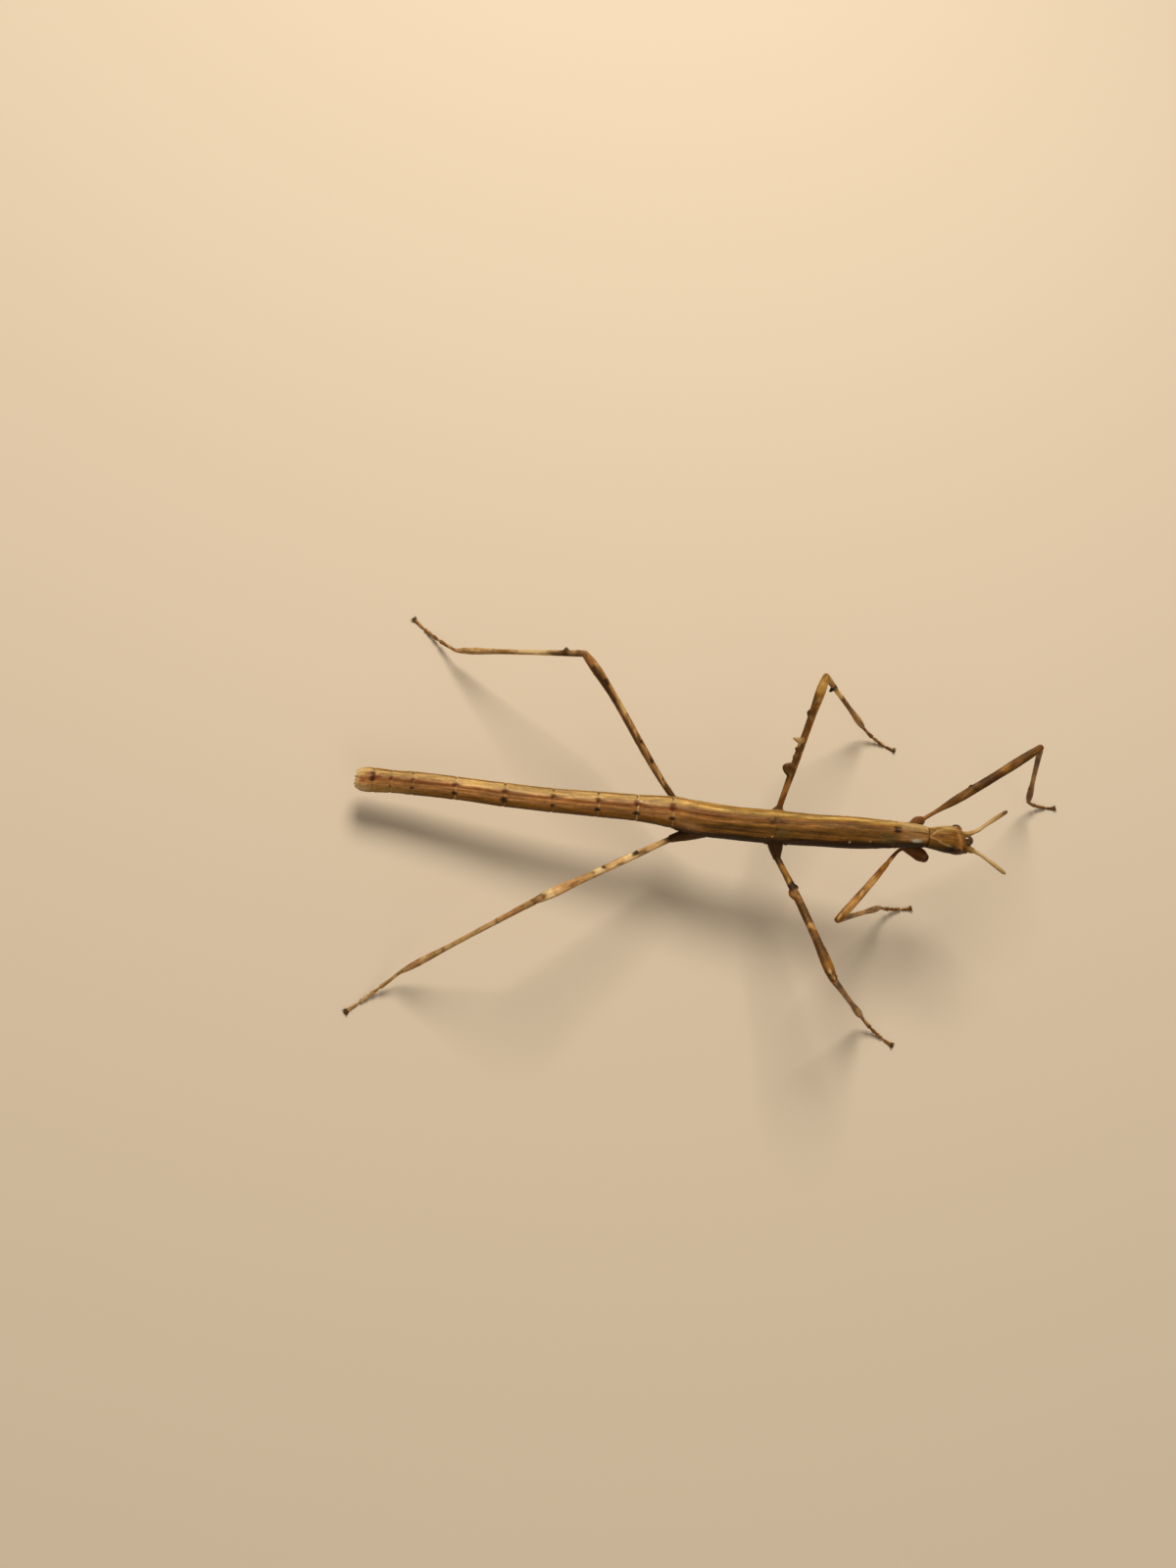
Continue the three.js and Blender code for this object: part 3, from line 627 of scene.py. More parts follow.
def leg_tint(name, along, length, turn, seed):
    """Colour of a leg segment. along is a share of its length, which is in mm. turn is in degrees."""
    segment, pair, side = name.split("_")
    base = LEG_BASE[f"{pair}_{side}"]
    if segment == "coxa":
        # the right coxae are darker than the left, partly their own colour and partly painted shade
        base = RUST * 0.55 + BROWN * 0.45 if side == "left" else RUST * 0.4 + UMBER * 0.4
    if segment == "tibia":
        base = base * 0.75 + STRAW * 0.25
    if segment == "tarsus":
        base = base * 0.6 + BROWN * 0.4
    mm = along * length
    tint = shaded(np.broadcast_to(base, along.shape + (3,)), 0.2 * ripple(mm, turn / 70, seed, 1.2))
    mottled = 0.35 if segment == "coxa" else 1.0
    pale = 0.15 if name.endswith("fore_left") else 0.45
    tint = layered(
        tint,
        (UMBER, 0.75 * mottled * step(ripple(mm, turn / 55, seed + 1, 2.2), 0.42, 0.08)),
        (CREAM, pale * mottled * step(ripple(mm, turn / 50, seed + 2, 2.4), 0.5, 0.08)),
    )
    ragged = 0.3 * ripple(mm, turn / 50, seed + 3, 2.0) / length
    for place, half, color, strength, *sector in LEG_MARKS.get(name, ()):
        amount = strength * np.exp(-((np.abs(along + ragged - place) / half) ** 4))
        if sector:
            gap = np.abs((turn - sector[0] + 180) % 360 - 180) / sector[1]
            amount = amount * np.exp(-(gap**4))
        tint = blend(tint, color, amount)
    # painted shade: each leg segment is darker towards its underside, by up to 30 percent
    tint = shaded(tint, -0.3 * (0.5 - 0.5 * np.cos(np.radians(turn))))
    # painted shade: the mid and hind coxae, tucked under the trunk, are darkened towards SHADE
    if segment == "coxa" and pair != "fore":
        tint = blend(tint, SHADE, np.full(along.shape, 0.7))
    if not (pair == "hind" and (side == "right" or segment == "tibia")):
        tint = tint * LEG_WARMTH
    return held(tint)


# ---------------- trunk

SIDES = 112
RING = 0.1
CARINAE = 18  # fine ridges along the trunk, counted around it
TUBERCLES = 46  # strewn over the thorax
# The blunt tail end turns in to a shallow hollow, darkened with painted shade: depth in mm, and shares of
# the rim's size and of its tint left by the painted shade.
TAIL_HOLLOW = ((0.55, 0.45, 0.6), (0.5, 0.72, 0.65), (0.22, 0.86, 0.8), (0.03, 0.95, 0.95))
SCOOP_ENDS = (-0.22, 6.6)

skin = Skin()
trunk_at = hermite(TRUNK_SECTIONS)


def trunk_relief(x, turn):
    """How far the cuticle stands out, in mm, at distances along and turns around in radians."""
    thorax = step(x, THORAX_BACK, 0.8)
    away = np.abs(turn)
    relief = 0.016 * ripple(x, turn * 4, 21, 1.6) + 0.008 * ripple(x, turn * 9, 22, 4.0)
    wave = np.cos(turn * CARINAE + 0.6 * ripple(x, turn, 23, 0.5))
    relief += (0.02 + 0.012 * ripple(x, turn, 24, 0.5)) * np.maximum(0, wave) ** 5
    # ridges along the thorax and the midline, and grooves low on the sides
    relief += thorax * (0.05 * hill(away, 1.62, 0.08) + 0.035 * hill(away, 0.92, 0.05))
    relief += 0.03 * hill(turn, 0, 0.05) * (0.4 + 0.6 * thorax)
    relief -= (1 - thorax) * 0.06 * hill(away, 1.85, 0.07) + thorax * 0.05 * hill(away, 2.2, 0.06)
    for edge, strength in EDGES:
        u = x - edge
        lip = 0.04 * np.where(u > 0, np.exp(-u / 0.3), 0) + 0.025 * hill(u, -0.6, 0.3)
        relief += strength * (lip - 0.06 * hill(u, -0.03, 0.09))
    relief -= 0.05 * hill(x, PRONOTUM_GROOVE, 0.16) * hill(away, 0, 1.1) + 0.11 * hill(x, HEAD_BACK, 0.8)
    rng = np.random.RandomState(7)
    for _ in range(TUBERCLES):
        place, angle = rng.uniform(41.5, 65), rng.uniform(-1.8, 1.8)
        size = rng.uniform(0.08, 0.14)
        span = ((x - place) / size) ** 2 + ((turn - angle) * 1.95 / size) ** 2
        relief += 0.055 * np.exp(-span)
    return relief


def coxa_ends(label):
    """Where a leg's coxa starts in its socket, and where its femur starts at the hip."""
    pair, side = label.split("_")
    sign = SIGNS[side]
    sx, sy, sz = PAIRS[pair]["socket"]
    hx, hy, hz = LEGS[label]["hip"]
    return trunk_point(sx, trunk_at(sx)[2] + sign * sy, sz), trunk_point(hx, sign * hy, hz)


def coxa_rims(points, relief):
    """Raised rims round the sockets of the legs."""
    for label in LEGS:
        start, hip = coxa_ends(label)
        axis = unit(hip - start)
        offset = points - start
        ahead = offset @ axis
        radial = np.linalg.norm(offset - ahead[..., None] * axis, axis=-1)
        rim = GIRTHS["coxa_" + label.split("_")[0]][0][1] + 0.12
        rise = 0.12 * hill(radial, rim, 0.13) - 0.08 * hill(radial, rim - 0.18, 0.1)
        relief = relief + rise * step(ahead, 0.2, 0.15)
    return relief


def build_trunk():
    X, T = grid(np.arange(0, HEAD_BACK + 0.25, RING), SIDES)
    wide, high, shift, drop = np.moveaxis(trunk_at(X), -1, 0)
    sin, cos = np.sin(T), np.cos(T)
    normal = unit(np.stack([np.zeros_like(X), sin / wide, cos / high], -1))
    plain = trunk_point(X, shift + wide * sin, high * cos - drop)
    relief = coxa_rims(plain, trunk_relief(X, T)) - 0.16 * step(X, HEAD_BACK - 0.02, 0.03)
    notch = 0.2 * hill(T, 0, 0.6) + 0.04 * ripple(X * 0, T * 4, 27, 1.5)
    rings = trunk_point(
        X + notch * np.maximum(0, 1 - X / 1.2) ** 2,
        shift + wide * sin + relief * normal[..., 1],
        high * cos - drop + relief * normal[..., 2],
    )
    tint = trunk_tint(X, np.degrees(T))
    grain = grain_at(X, T, wide)
    middle = rings[0].mean(0)
    inner, dark = [], []
    # painted shade darkens the rings inside the hollow
    for depth, share, shade in TAIL_HOLLOW:
        inner.append(middle + (rings[0] - middle) * share + trunk_point(depth, 0, 0) - trunk_point(0, 0, 0))
        dark.append(tint[0] * shade)
    skin.tube(
        np.concatenate([inner, rings]),
        np.concatenate([dark, tint]),
        np.concatenate([np.repeat(grain[:1], len(TAIL_HOLLOW), 0), grain]),
    )


def ball(middle, radii, sides=24):
    """An egg-shaped closed mesh in the trunk's frame, as rings of points."""
    A, B = grid(np.linspace(-np.pi / 2, np.pi / 2, sides // 2 + 1)[1:-1], sides)
    return middle + np.stack([np.sin(A), np.cos(A) * np.sin(B), np.cos(A) * np.cos(B)], -1) * radii


def build_tail():
    """The egg scoop under the tail, and the two cerci beside its end."""
    X, T = grid(np.linspace(*SCOOP_ENDS, 60), sides=40)
    share = (X - SCOOP_ENDS[0]) / (SCOOP_ENDS[1] - SCOOP_ENDS[0])
    girth = np.sqrt(np.clip(1 - (2 * share - 1) ** 2, 0.004, 1)) ** 0.8
    keel = 0.1 * hill(np.abs(T), np.pi, 0.22)
    y = 0.18 + (0.92 + keel) * girth * np.sin(T)
    z = -0.88 + 0.1 * (1 - share) + (0.58 + keel) * girth * np.cos(T)
    tint = blend(BROWN, STRAW, 0.5 + 0.4 * ripple(X, T * 2, 31, 1.5))
    skin.tube(trunk_point(X, y, z), tint, grain_at(X, T))
    S, T = grid(np.linspace(0, 1, 16), sides=20)
    size = 0.24 * np.sqrt(np.clip(1 - S**2.2, 0.01, 1)) * (0.75 + 0.25 * np.sin(np.pi * S))
    x = 0.85 - 1.12 * S
    z = -0.52 - 0.04 * S + size * np.cos(T)
    for sign in (-1, 1):
        y = 0.12 + sign * (0.6 - 0.16 * S) + size * np.sin(T)
        skin.tube(trunk_point(x, y, z)[:, ::-1], BROWN, grain_at(x, T))


# ---------------- head

HEAD_VOXEL = 0.045
EYE_RIM = 0.12  # how far the rim round an eye is from it

# Egg shapes that the head is fused from, in its middle and on its sides: places along, out and up, and the
# three radii.
HEAD_MIDDLE = [
    (74.3, 0, -0.2, 0.78, 0.74, 0.86), (*KNOB_PLACE, *KNOB_RADII), (74.78, 0, -0.32, 0.42, 0.6, 0.4),
    (74.92, 0, -0.86, 0.26, 0.5, 0.36), (73.9, 0, -1.2, 1.0, 0.74, 0.68), (72.3, 0, -1.05, 1.7, 0.9, 0.55),
]
HEAD_SIDES = [
    (73.3, 1.1, -0.55, 1.15, 0.52, 0.76), (74.3, 0.86, -0.72, 0.66, 0.5, 0.5),
    (74.55, 0.46, -1.12, 0.52, 0.34, 0.44), (74.36, 0.82, -0.02, 0.46, 0.46, 0.42),
    (73.02, 1.28, 0.3, 0.76, 0.42, 0.7), (73.75, 0.62, -1.62, 0.6, 0.26, 0.26),
]
# Two pairs of jointed feelers under the mouth: places along, out and up, and a radius.
PALPS = [
    ([(73.6, 0.55, -1.6), (73.95, 0.68, -1.95), (74.45, 0.66, -2.15), (74.8, 0.5, -2.3)], 0.11),
    ([(73.9, 0.26, -1.7), (74.25, 0.34, -2.0), (74.6, 0.3, -2.14)], 0.09),
]
# The flagellum of an antenna starts at this share of its length, and has ringed joints.
FLAGELLUM, JOINTS = 0.3, 22
ANTENNA_RINGS = 300
# Half the scape's breadth, its tint, the flagellum's, and how strongly its outer half and its tip darken.
ANTENNA_LOOKS = {
    "left": (0.3, STRAW * 0.5 + OCHRE * 0.5, CREAM * 0.5 + STRAW * 0.45, 0.7, 0.95),
    "right": (0.4, BROWN, CREAM * 0.7 + STRAW * 0.3, 0.35, 0.4),
}

head_at = hermite(HEAD_SECTIONS)


def head_parts():
    """The closed shapes that the head is fused from, as rings in the trunk's frame."""
    X, T = grid(np.linspace(HEAD_BACK + 0.02, HEAD_SECTIONS[-1][0], 60), sides=64)
    wide, high, drop = np.moveaxis(head_at(X), -1, 0)
    wide = wide * (1 - 0.1 * hill(X, HEAD_BACK, 0.8))
    flat = 1 - 0.05 * hill(T, 0, 0.5)
    brow = 1 - 0.03 * hill(T, 0, 0.09) * hill(X, 71.3, 1.3)
    yield np.stack([X, HEAD_SHIFT + wide * np.sin(T), high * np.cos(T) * flat * brow - drop], -1)
    for sign, eggs in ((0, HEAD_MIDDLE), (-1, HEAD_SIDES), (1, HEAD_SIDES)):
        for x, out, up, *radii in eggs:
            yield ball((x, HEAD_SHIFT + sign * out, up), radii)


def fused(parts, voxel, smoothing):
    """The parts as one watertight mesh: its points and faces."""
    points, faces, start = [], [], 0
    for rings in parts:
        steps, sides = rings.shape[:2]
        last = (steps - 1) * sides
        caps = [tuple(range(sides))[::-1], tuple(range(last, last + sides))]
        faces += [tuple(i + start for i in face) for face in walls(steps, sides) + caps]
        points.append(rings.reshape(-1, 3))
        start += steps * sides
    mesh = bpy.data.meshes.new("parts")
    mesh.from_pydata(np.concatenate(points).tolist(), [], faces)
    piece = placed("parts", mesh)
    set_all(piece.modifiers.new("fuse", "REMESH"), mode="VOXEL", voxel_size=voxel)
    set_all(piece.modifiers.new("smooth", "SMOOTH"), factor=0.5, iterations=smoothing)
    bpy.context.view_layer.update()
    done = bpy.data.meshes.new_from_object(piece.evaluated_get(bpy.context.evaluated_depsgraph_get()))
    out = np.empty(len(done.vertices) * 3)
    done.vertices.foreach_get("co", out)
    faces = [tuple(face.vertices) for face in done.polygons]
    bpy.data.objects.remove(piece)
    for used in (mesh, done):
        bpy.data.meshes.remove(used)
    return out.reshape(-1, 3), faces


def build_head():
    points, faces = fused(head_parts(), voxel=HEAD_VOXEL, smoothing=7)
    x, y, z = points[:, 0], points[:, 1] - HEAD_SHIFT, points[:, 2] + head_at(points[:, 0])[:, 2]
    turn = np.arctan2(y, z)
    outward = np.stack([np.zeros_like(x), y, z], -1) / np.maximum(np.hypot(y, z), 0.05)[:, None]
    relief = 0.012 * ripple(x, turn * 5, 41, 3.0) + 0.014 * np.maximum(0, np.cos(turn * 14)) ** 4
    relief = relief * step(-x, -73.6, 0.3)
    ahead, above = x - EYE_PLACE[0], points[:, 2] - EYE_PLACE[2]
    far = np.hypot(ahead / (EYE_RADII[0] + EYE_RIM), above / (EYE_RADII[2] + EYE_RIM))
    for sign in (-1, 1):
        relief += 0.07 * hill(far, 1.0, 0.12) * step(sign * y, 0.9, 0.1)
    points = points + outward * relief[:, None]
    up = points[:, 2]
    span = (((np.stack([x, y, up], -1) - KNOB_PLACE) / KNOB_RADII) ** 2).sum(-1)
    knob = np.exp(-((span / 1.3) ** 4)) * step(up, 0.3, 0.08)
    jaws = step(-up, 0.9, 0.1) * step(x, 74.2, 0.15)
    tint = layered(head_tint(x, np.degrees(turn)), (KNOB_DARK, 0.95 * knob), (RUST, 0.7 * jaws))
    skin.add(in_trunk(points), faces, tint, np.stack([x, y, z], -1), knob)


def build_palps():
    for sign in (-1, 1):
        for points, radius in PALPS:
            path = [(x, HEAD_SHIFT + sign * y, z) for x, y, z in points]
            rings = rod(path, [radius] * (len(path) - 1) + [radius * 0.5], sides=14, per_point=8)
            s = np.linspace(0, len(path) - 1, len(rings))
            swell = 1 + 0.22 * np.cos(2 * np.pi * s * 1.3)
            middle = rings.mean(1, keepdims=True)
            rings = middle + (rings - middle) * swell[:, None, None]
            skin.tube(in_trunk(rings), OCHRE, rings)


def build_eye(side, material):
    rings = ball((0, 0, 0), EYE_RADII, sides=48)
    turned = in_trunk(rings) - trunk_point(0, 0, 0)
    eye = Skin()
    eye.tube(turned + eye_middle(side) - ORIGIN, SHADE, rings * np.array([1, SIGNS[side], 1]))
    piece = eye.build(f"eye_{side}_lens", material)
    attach(piece, "root")
    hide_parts(f"eye_{side}")


def build_antennae():
    """A broad scape, a short pedicel and a flagellum of ringed joints on each side."""
    for side, sign in SIGNS.items():
        broad, base, pale, outer, tip = ANTENNA_LOOKS[side]
        path = [(x, HEAD_SHIFT + sign * out, up) for x, out, up in ANTENNAE[side]]
        middle = through(path)(np.linspace(0, len(path) - 1, ANTENNA_RINGS))
        share = travelled(middle)
        share = share / share[-1]
        girth = hermite([
            (0, broad * 0.85, 0.3), (0.08, broad, 0.32), (0.17, broad * 0.95, 0.3), (0.22, 0.24, 0.23),
            (0.27, 0.27, 0.25), (0.32, 0.24, 0.23), (0.7, 0.27, 0.25), (0.9, 0.24, 0.22),
            (0.97, 0.19, 0.18), (1, 0.06, 0.06),
        ])(share)
        phase = (share - FLAGELLUM) * np.pi * JOINTS
        joints = np.where(share > FLAGELLUM, 0.07 * np.abs(np.sin(phase)) ** 0.5 - 0.06, 0)
        wide, high = (girth * (1 + joints[:, None])).T[..., None]
        S, T = grid(share, sides=20)
        between = 0.5 + 0.5 * np.cos(2 * phase)[:, None]
        rings = wrapped(middle, unit(np.gradient(middle, axis=0)), wide, high, T)
        tint = layered(
            base,
            (pale, 0.85 * step(S, 0.22, 0.04)),
            (OCHRE, outer * step(S, 0.62, 0.08)),
            (OCHRE, 0.3 * between * step(S, FLAGELLUM, 0.02)),
            (UMBER, tip * step(S, 0.86, 0.03)),
        )
        skin.tube(in_trunk(rings), tint, grain_at(S * 5, T))


# ---------------- legs

LIMB_SIDES = 32
LIMB_RING = 0.11
GROWTH_BREADTH = 0.45  # how far round a leg a growth spreads, in radians
KEEL = 0.11  # how far the four edges of a leg stand out, as a share of its girth

# Lobes and teeth: share of the length, height, half length, turn in degrees, and how pointed they are.
GROWTHS = {
    "femur_fore_left": [(0.43, 0.16, 0.35, -75, 2.0)],
    "femur_mid_left": [
        (0.285, 1.0, 0.85, -80, 0.7), (0.5, 1.0, 0.42, -80, 2.6), (0.71, 0.34, 0.5, -80, 1.0),
        (0.38, 0.16, 0.3, -70, 1.0), (0.44, 0.2, 0.25, -90, 1.4),
    ],
    "femur_mid_right": [
        (0.32, 0.5, 0.8, 80, 0.8), (0.27, 0.28, 0.4, -80, 1.0), (0.985, 0.14, 0.2, -70, 1.0),
    ],
    "femur_hind_left": [(a, 0.07, 0.2, 5, 1.6) for a in (0.15, 0.28, 0.41, 0.78)],
    "femur_hind_right": [(a, 0.08, 0.22, 45, 1.6) for a in (0.28, 0.52)],
    "tibia_mid_left": [(0.2, 0.5, 0.42, 140, 1.6)],
    "tibia_hind_left": [(0.135, 0.38, 0.4, 60, 1.4)],
}
UNDER_TEETH = [(0.8, 0.09, 0.2, 160, 1.6), (0.87, 0.11, 0.2, -160, 1.6), (0.93, 0.1, 0.2, 165, 1.6)]


def bezier(handles):
    """A curve from the first handle to the last, drawn towards those between."""
    last = len(handles) - 1

    def at(t):
        t = np.asarray(t, float)[:, None]
        return sum(math.comb(last, k) * (1 - t) ** (last - k) * t**k * handles[k] for k in range(last + 1))

    return at


def limb_rings(path, length, girth, reach):
    """Shares of the length, middles, headings and sizes for evenly spaced rings of a limb segment."""
    fine = np.linspace(0, 1, 400)
    run = travelled(path(fine))
    s = np.linspace(*reach, max(6, int(length * (reach[1] - reach[0]) / LIMB_RING)))
    inside = np.clip(s, 0, 1)
    t = np.interp(inside * run[-1], run, fine)
    ahead = unit(path(np.minimum(t + 0.01, 1)) - path(np.maximum(t - 0.01, 0)))
    return s, path(t) + ahead * ((s - inside) * run[-1])[:, None], ahead, hermite(girth)(inside)


def add_limb(name, path, length, girth, seed, caps, keel):
    """One leg segment: a keeled rod with its growths and fine relief. caps are its round ends, in mm."""
    s, middle, ahead, size = limb_rings(path, length, girth, (-caps[0] / length, 1 + caps[1] / length))
    beyond = np.zeros_like(s)
    for cap, past in zip(caps, (-s, s - 1)):
        if cap:
            beyond += np.clip(past * length / cap, 0, 1)
    size = size * np.sqrt(np.maximum(1 - beyond**2, 0.02))[:, None]
    S, T = grid(s, LIMB_SIDES)
    square = 1 + keel * (0.5 + 0.5 * np.cos(4 * T + np.pi)) ** 3 - 0.25 * keel
    relief = 0.014 * ripple(S * length, T * 3, seed, 2.0) + 0.008 * ripple(S * length, T * 6, seed + 5, 5.0)
    teeth = UNDER_TEETH if name.startswith("femur") else []
    for place, height, half, angle, point in GROWTHS.get(name, []) + teeth:
        rise = np.clip(1 - (np.abs(S - place) * length / half) ** 2, 0, 1) ** (0.5 + 0.5 * point)
        gap = np.angle(np.exp(1j * (T - math.radians(angle))))
        relief = relief + height * rise * np.exp(-((gap / GROWTH_BREADTH) ** 2))
    relief = relief * np.sqrt(np.maximum(1 - beyond**2, 0))[:, None]
    rings = wrapped(middle, ahead, size[:, :1] * square + relief, size[:, 1:] * square + relief, T)
    rings[..., 2] = np.maximum(rings[..., 2], 0)
    tint = leg_tint(name, S, length, np.degrees(T), seed)
    skin.tube(rings, tint, grain_at(S * length + seed * 3.7, T, size[:, :1]))


TARSOMERES = [0.0, 0.4, 0.57, 0.69, 0.77, 1.0]  # where its joints part, as shares of a tarsus


def tarsus_girth():
    """Five joints, each slender at its start and widening to a soft pad at its end."""
    rows = []
    for start, end in zip(TARSOMERES, TARSOMERES[1:]):
        wide = 0.2 if end == TARSOMERES[-1] else 0.24
        rows += [
            (start + 0.004, wide * 0.62, wide * 0.66),
            (start + (end - start) * 0.35, wide * 0.78, wide * 0.82),
            (start + (end - start) * 0.8, wide, wide * 0.98),
            (end - 0.012, wide * 0.98, wide),
        ]
    return [(0.0, 0.2, 0.2), *rows[1:-1], (1.0, 0.26, 0.2)]


PAD_PLACE = (0.22, 0, 0.02)
PAD_RADII = (0.3, 0.27, 0.14)
# A claw's places ahead of the foot's end, to the side and up, and its radii there.
CLAW_PATH = [(-0.05, 0.1, 0.05), (0.2, 0.26, 0.16), (0.42, 0.34, 0.12), (0.55, 0.33, -0.07)]
CLAW_RADII = [0.085, 0.075, 0.05, 0.012]
claws = Skin()


def build_foot(toe, heading, sign):
    """Two curved claws with a round pad between them, set on the floor."""
    forward = direction(heading, 0, sign)
    axes = np.array([forward, [-forward[1], forward[0], 0], [0, 0, 1.0]])
    pad = toe + ball(PAD_PLACE, PAD_RADII, sides=18) @ axes
    pad[..., 2] = np.maximum(pad[..., 2], 0)
    skin.tube(pad, UMBER, pad * 2)
    for side in (-1, 1):
        path = [toe + np.array([x, side * y, z]) @ axes for x, y, z in CLAW_PATH]
        rings = rod(path, CLAW_RADII, sides=12, per_point=6, sky=(0.01, 0.02, 1.0))
        rings[..., 2] = np.maximum(rings[..., 2], 0)
        claws.tube(rings, SHADE, rings * 2)


def build_leg(label, seed):
    leg = LEGS[label]
    pair, side = label.split("_")
    size, sign = PAIRS[pair], SIGNS[side]

    def girth(segment):
        return GIRTHS.get(f"{segment}_{label}", GIRTHS[f"{segment}_{pair}"])

    def down_from(start, heading, length, height):
        fall = math.degrees(math.asin((start[2] - height) / length))
        return start + direction(heading, -fall, sign) * length

    socket, hip = coxa_ends(label)
    bent = [hip + np.array([x, sign * y, z]) for x, y, z in leg.get("handles", [])]
    heading, lift, reach = leg["femur"]
    knee = hip + direction(heading, lift, sign) * reach
    ankle = down_from(knee, leg["tibia"], size["tibia"], size["ankle"])
    toe = down_from(ankle, leg["tarsus"], size["tarsus"], PAD_HEIGHT)
    instep = (ankle + toe) / 2 * (1, 1, 0)
    for segment, handles, length, thick, number, caps, keel in (
        ("coxa", [socket, hip], np.linalg.norm(hip - socket), girth("coxa"), 0, (0, 0.42), 0.05),
        ("femur", [hip, *bent, knee], size["femur"], girth("femur"), 1, (0.2, 0.36), KEEL),
        ("tibia", [knee, ankle], size["tibia"], GIRTHS["tibia"], 3, (0.3, 0.16), KEEL),
        ("tarsus", [ankle, instep, toe], size["tarsus"], tarsus_girth(), 4, (0.16, 0), 0.03),
    ):
        add_limb(f"{segment}_{label}", bezier(handles), length, thick, seed + number, caps, keel)
    build_foot(toe, leg["tarsus"], sign)


# ---------------- materials

SPECULAR_TINT = (1.0, 0.82, 0.55, 1)


class Look:
    """A material with a Principled shader. Inputs that are given as sockets are linked, others are set."""

    def __init__(self, name):
        self.material = bpy.data.materials.new(name)
        self.material.use_nodes = True
        self.tree = self.material.node_tree
        self.shader = self.tree.nodes["Principled BSDF"]

    def feed(self, node, inputs):
        for key, value in inputs.items():
            if isinstance(value, bpy.types.NodeSocket):
                self.tree.links.new(value, node.inputs[key])
            else:
                node.inputs[key].default_value = value
        return node

    def node(self, kind, inputs, **settings):
        node = self.tree.nodes.new(f"ShaderNode{kind}")
        return self.feed(set_all(node, **settings), inputs)

    def stored(self, attribute, output):
        return self.node("Attribute", {}, attribute_name=attribute).outputs[output]

    def mixed(self, kind, factor, a, b):
        return self.node("Mix", {0: factor, 6: a, 7: b}, data_type="RGBA", blend_type=kind).outputs[2]

    def maths(self, kind, a, b):
        return self.node("Math", {0: a, 1: b}, operation=kind).outputs[0]

    def ranged(self, value, low, high, to_low, to_high):
        ends = {"From Min": low, "From Max": high, "To Min": to_low, "To Max": to_high}
        return self.node("MapRange", {"Value": value, **ends}).outputs[0]


def cuticle(name, roughness=0.46):
    """Bark-like cuticle: the tint in the mesh, with streaks, mottling, flecks and fine relief on it."""
    look = Look(name)
    grain, shine = look.stored("grain", "Vector"), look.stored("gloss", "Fac")

    def noise(scale, detail, rough=0.6):
        place = look.node("Mapping", {"Vector": grain, "Scale": scale}).outputs[0]
        inputs = {"Vector": place, "Scale": 1.0, "Detail": detail, "Roughness": rough}
        return look.node("TexNoise", inputs).outputs["Fac"]

    streak = noise((0.45, 4.5, 4.5), 6)
    fine = noise((1.6, 16, 16), 4)
    mottle = noise((1.6, 2.2, 2.2), 4)
    flecks = noise((3.5, 9, 9), 2, 0.5)
    color = look.stored("tint", "Color")
    for share in (
        look.ranged(streak, 0.3, 0.7, 0.68, 1.3),
        look.ranged(fine, 0.3, 0.7, 0.84, 1.16),
        look.ranged(mottle, 0.35, 0.7, 1.1, 0.82),
    ):
        gray = look.node("CombineColor", {0: share, 1: share, 2: share}).outputs[0]
        color = look.mixed("MULTIPLY", 1.0, color, gray)
    color = look.mixed("MIX", look.ranged(flecks, 0.66, 0.74, 0, 0.6), color, (*SHADE, 1))
    color = look.mixed("MIX", look.ranged(flecks, 0.31, 0.25, 0, 0.3), color, (*STRAW, 1))
    dull = look.ranged(streak, 0.3, 0.7, roughness + 0.1, roughness - 0.06)
    height = look.maths("ADD", look.ranged(streak, 0, 1, 0, 0.7), look.ranged(fine, 0, 1, 0, 0.5))
    relief = look.node("Bump", {"Strength": 0.55, "Distance": 0.00004, "Height": height})
    look.feed(look.shader, {
        "Base Color": color,
        "Roughness": look.maths("SUBTRACT", dull, look.maths("MULTIPLY", shine, 0.36)),
        "Specular IOR Level": 0.18,
        "Specular Tint": SPECULAR_TINT,
        "Coat Weight": look.maths("MULTIPLY", shine, 0.6),
        "Coat Roughness": 0.06,
        "Normal": relief.outputs[0],
    })
    return look.material


def eye_material():
    """Dark brown facets under a clear glossy coat."""
    look = Look("eye")
    place = look.stored("grain", "Vector")
    facets = look.node("TexVoronoi", {"Vector": place, "Scale": 16, "Randomness": 0.35}).outputs["Distance"]
    ramp = look.node("ValToRGB", {0: facets})
    set_all(ramp.color_ramp.elements[0], color=(*EYE_BROWN, 1))
    set_all(ramp.color_ramp.elements[1], color=(*EYE_DARK, 1), position=0.7)
    patches = look.node("TexNoise", {"Vector": place, "Scale": 2.2})
    relief = look.node("Bump", {"Strength": 0.4, "Distance": 0.00002, "Height": facets}, invert=True)
    look.feed(look.shader, {
        "Base Color": look.mixed("MULTIPLY", 0.6, ramp.outputs[0], patches.outputs["Color"]),
        "Roughness": 0.4,
        "Specular IOR Level": 0.25,
        "Specular Tint": SPECULAR_TINT,
        "Coat Weight": 0.12,
        "Coat Roughness": 0.12,
        "Normal": relief.outputs[0],
    })
    return look.material


def floor_material():
    look = Look("floor")
    look.feed(look.shader, {"Base Color": (*PAPER, 1), "Roughness": 0.85})
    return look.material


# ---------------- assembly

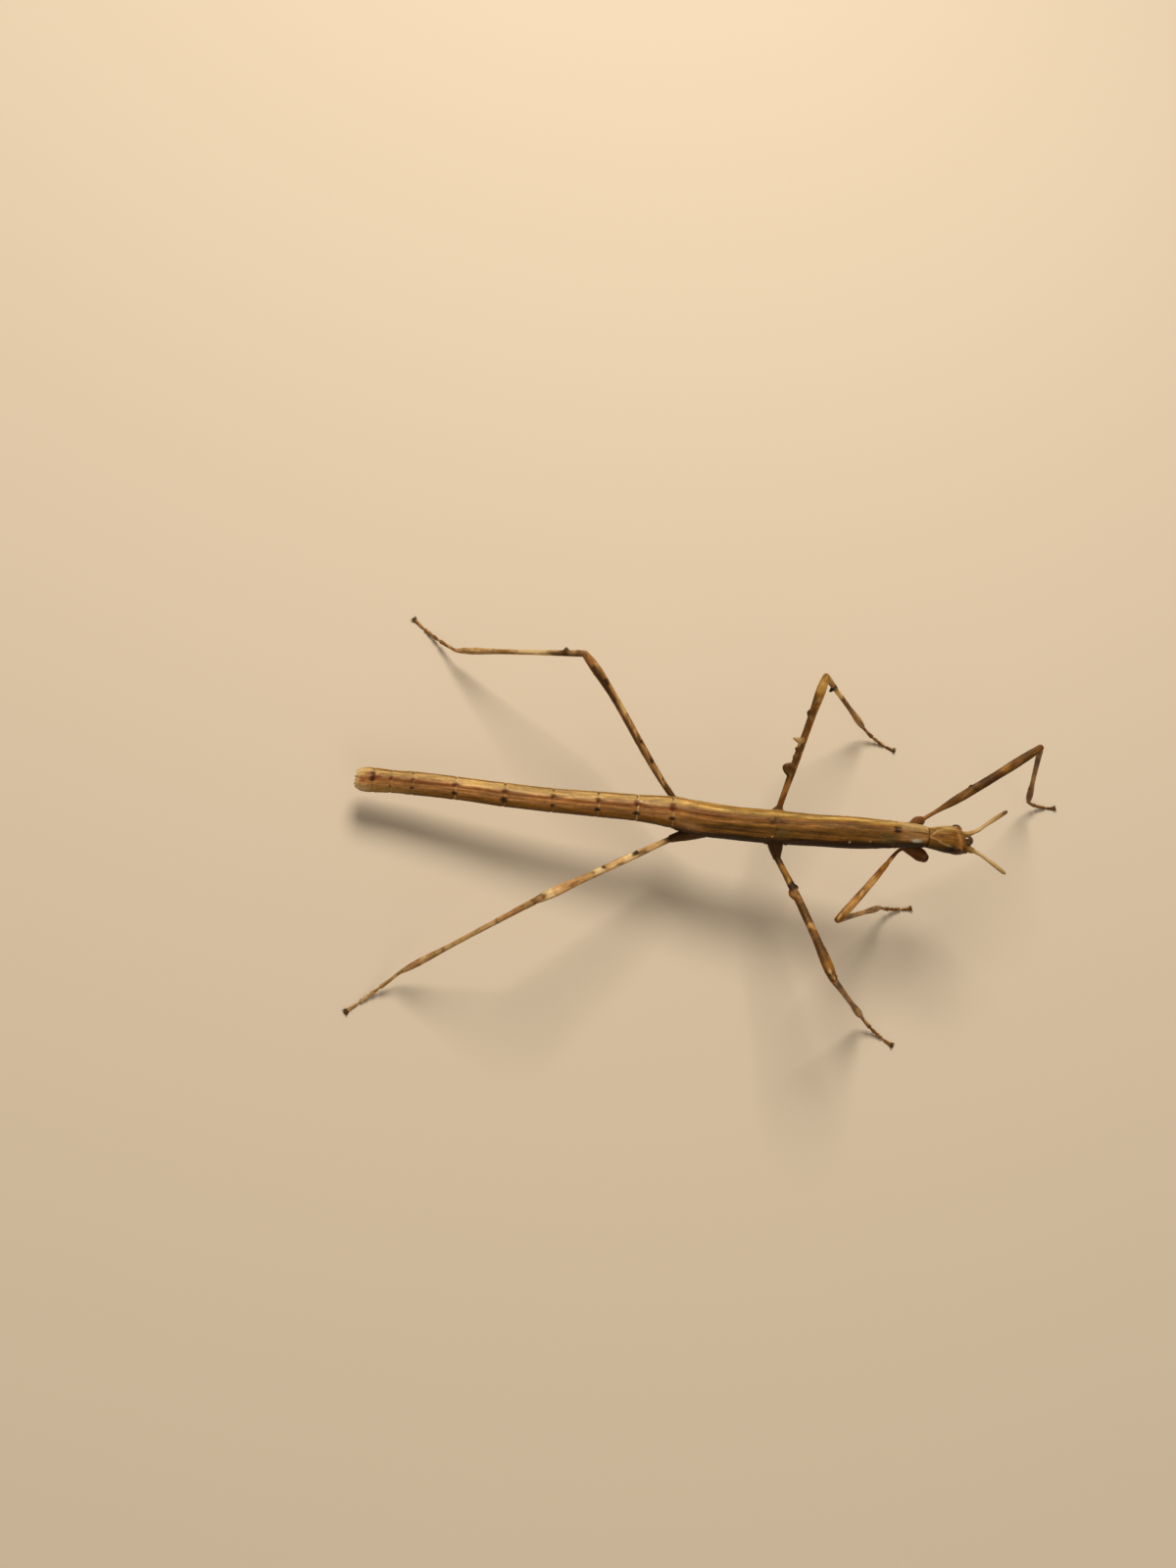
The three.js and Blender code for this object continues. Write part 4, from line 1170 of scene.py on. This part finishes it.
build_trunk()
build_tail()
build_head()
build_palps()
build_antennae()
for number, label in enumerate(LEGS):
    build_leg(label, 100 + number * 10)

body = skin.build("insect_skin", cuticle("cuticle"))
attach(body, "root")
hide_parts(*[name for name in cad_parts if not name.startswith("eye_")])
horn = claws.build("claws", cuticle("claw", 0.35))
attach(horn, "root")
lens = eye_material()
for side in ("left", "right"):
    build_eye(side, lens)

# ---------------- floor, light and camera

scene = bpy.context.scene


def lay_floor(half):
    mesh = bpy.data.meshes.new("floor")
    corners = [(-half, -half, 0), (half, -half, 0), (half, half, 0), (-half, half, 0)]
    mesh.from_pydata(corners, [], [(0, 1, 2, 3)])
    mesh.materials.append(floor_material())
    piece = placed("floor", mesh)


def add_light(name, place, size, power, color):
    data = bpy.data.lights.new(name, "AREA")
    set_all(data, shape="DISK", size=size, energy=power, color=color)
    turn = (-Vector(place)).to_track_quat("-Z", "Y")
    set_all(placed(name, data), location=place, rotation_mode="QUATERNION", rotation_quaternion=turn)


def set_world(color, strength):
    world = bpy.data.worlds.new("studio")
    world.use_nodes = True
    background = world.node_tree.nodes["Background"]
    background.inputs["Color"].default_value = (*color, 1)
    background.inputs["Strength"].default_value = strength
    scene.world = world


def place_camera():
    data = bpy.data.cameras.new("camera")
    camera = placed("camera", set_all(data, sensor_width=SENSOR, lens=LENS, clip_start=0.005, clip_end=10))
    forward, right = unit(CAMERA_FORWARD), unit(CAMERA_RIGHT)
    up = np.cross(right, forward)
    turn = Matrix(np.stack([right, up, -forward], 1).tolist()).to_4x4()
    place = (np.array(CAMERA_PLACE) + ORIGIN) * MM
    camera.matrix_world = Matrix.Translation(Vector(place)) @ turn
    scene.camera = camera


lay_floor(half=3.0)
add_light("key", place=(-0.05, 0.26, 0.34), size=0.2, power=1.6, color=(1.0, 0.98, 0.94))
add_light("fill", place=(0.1, -0.3, 0.3), size=0.3, power=0.2, color=(1.0, 0.98, 0.95))
set_world(color=(1.0, 0.98, 0.95), strength=0.3)
place_camera()
scene.view_settings.view_transform = "Standard"
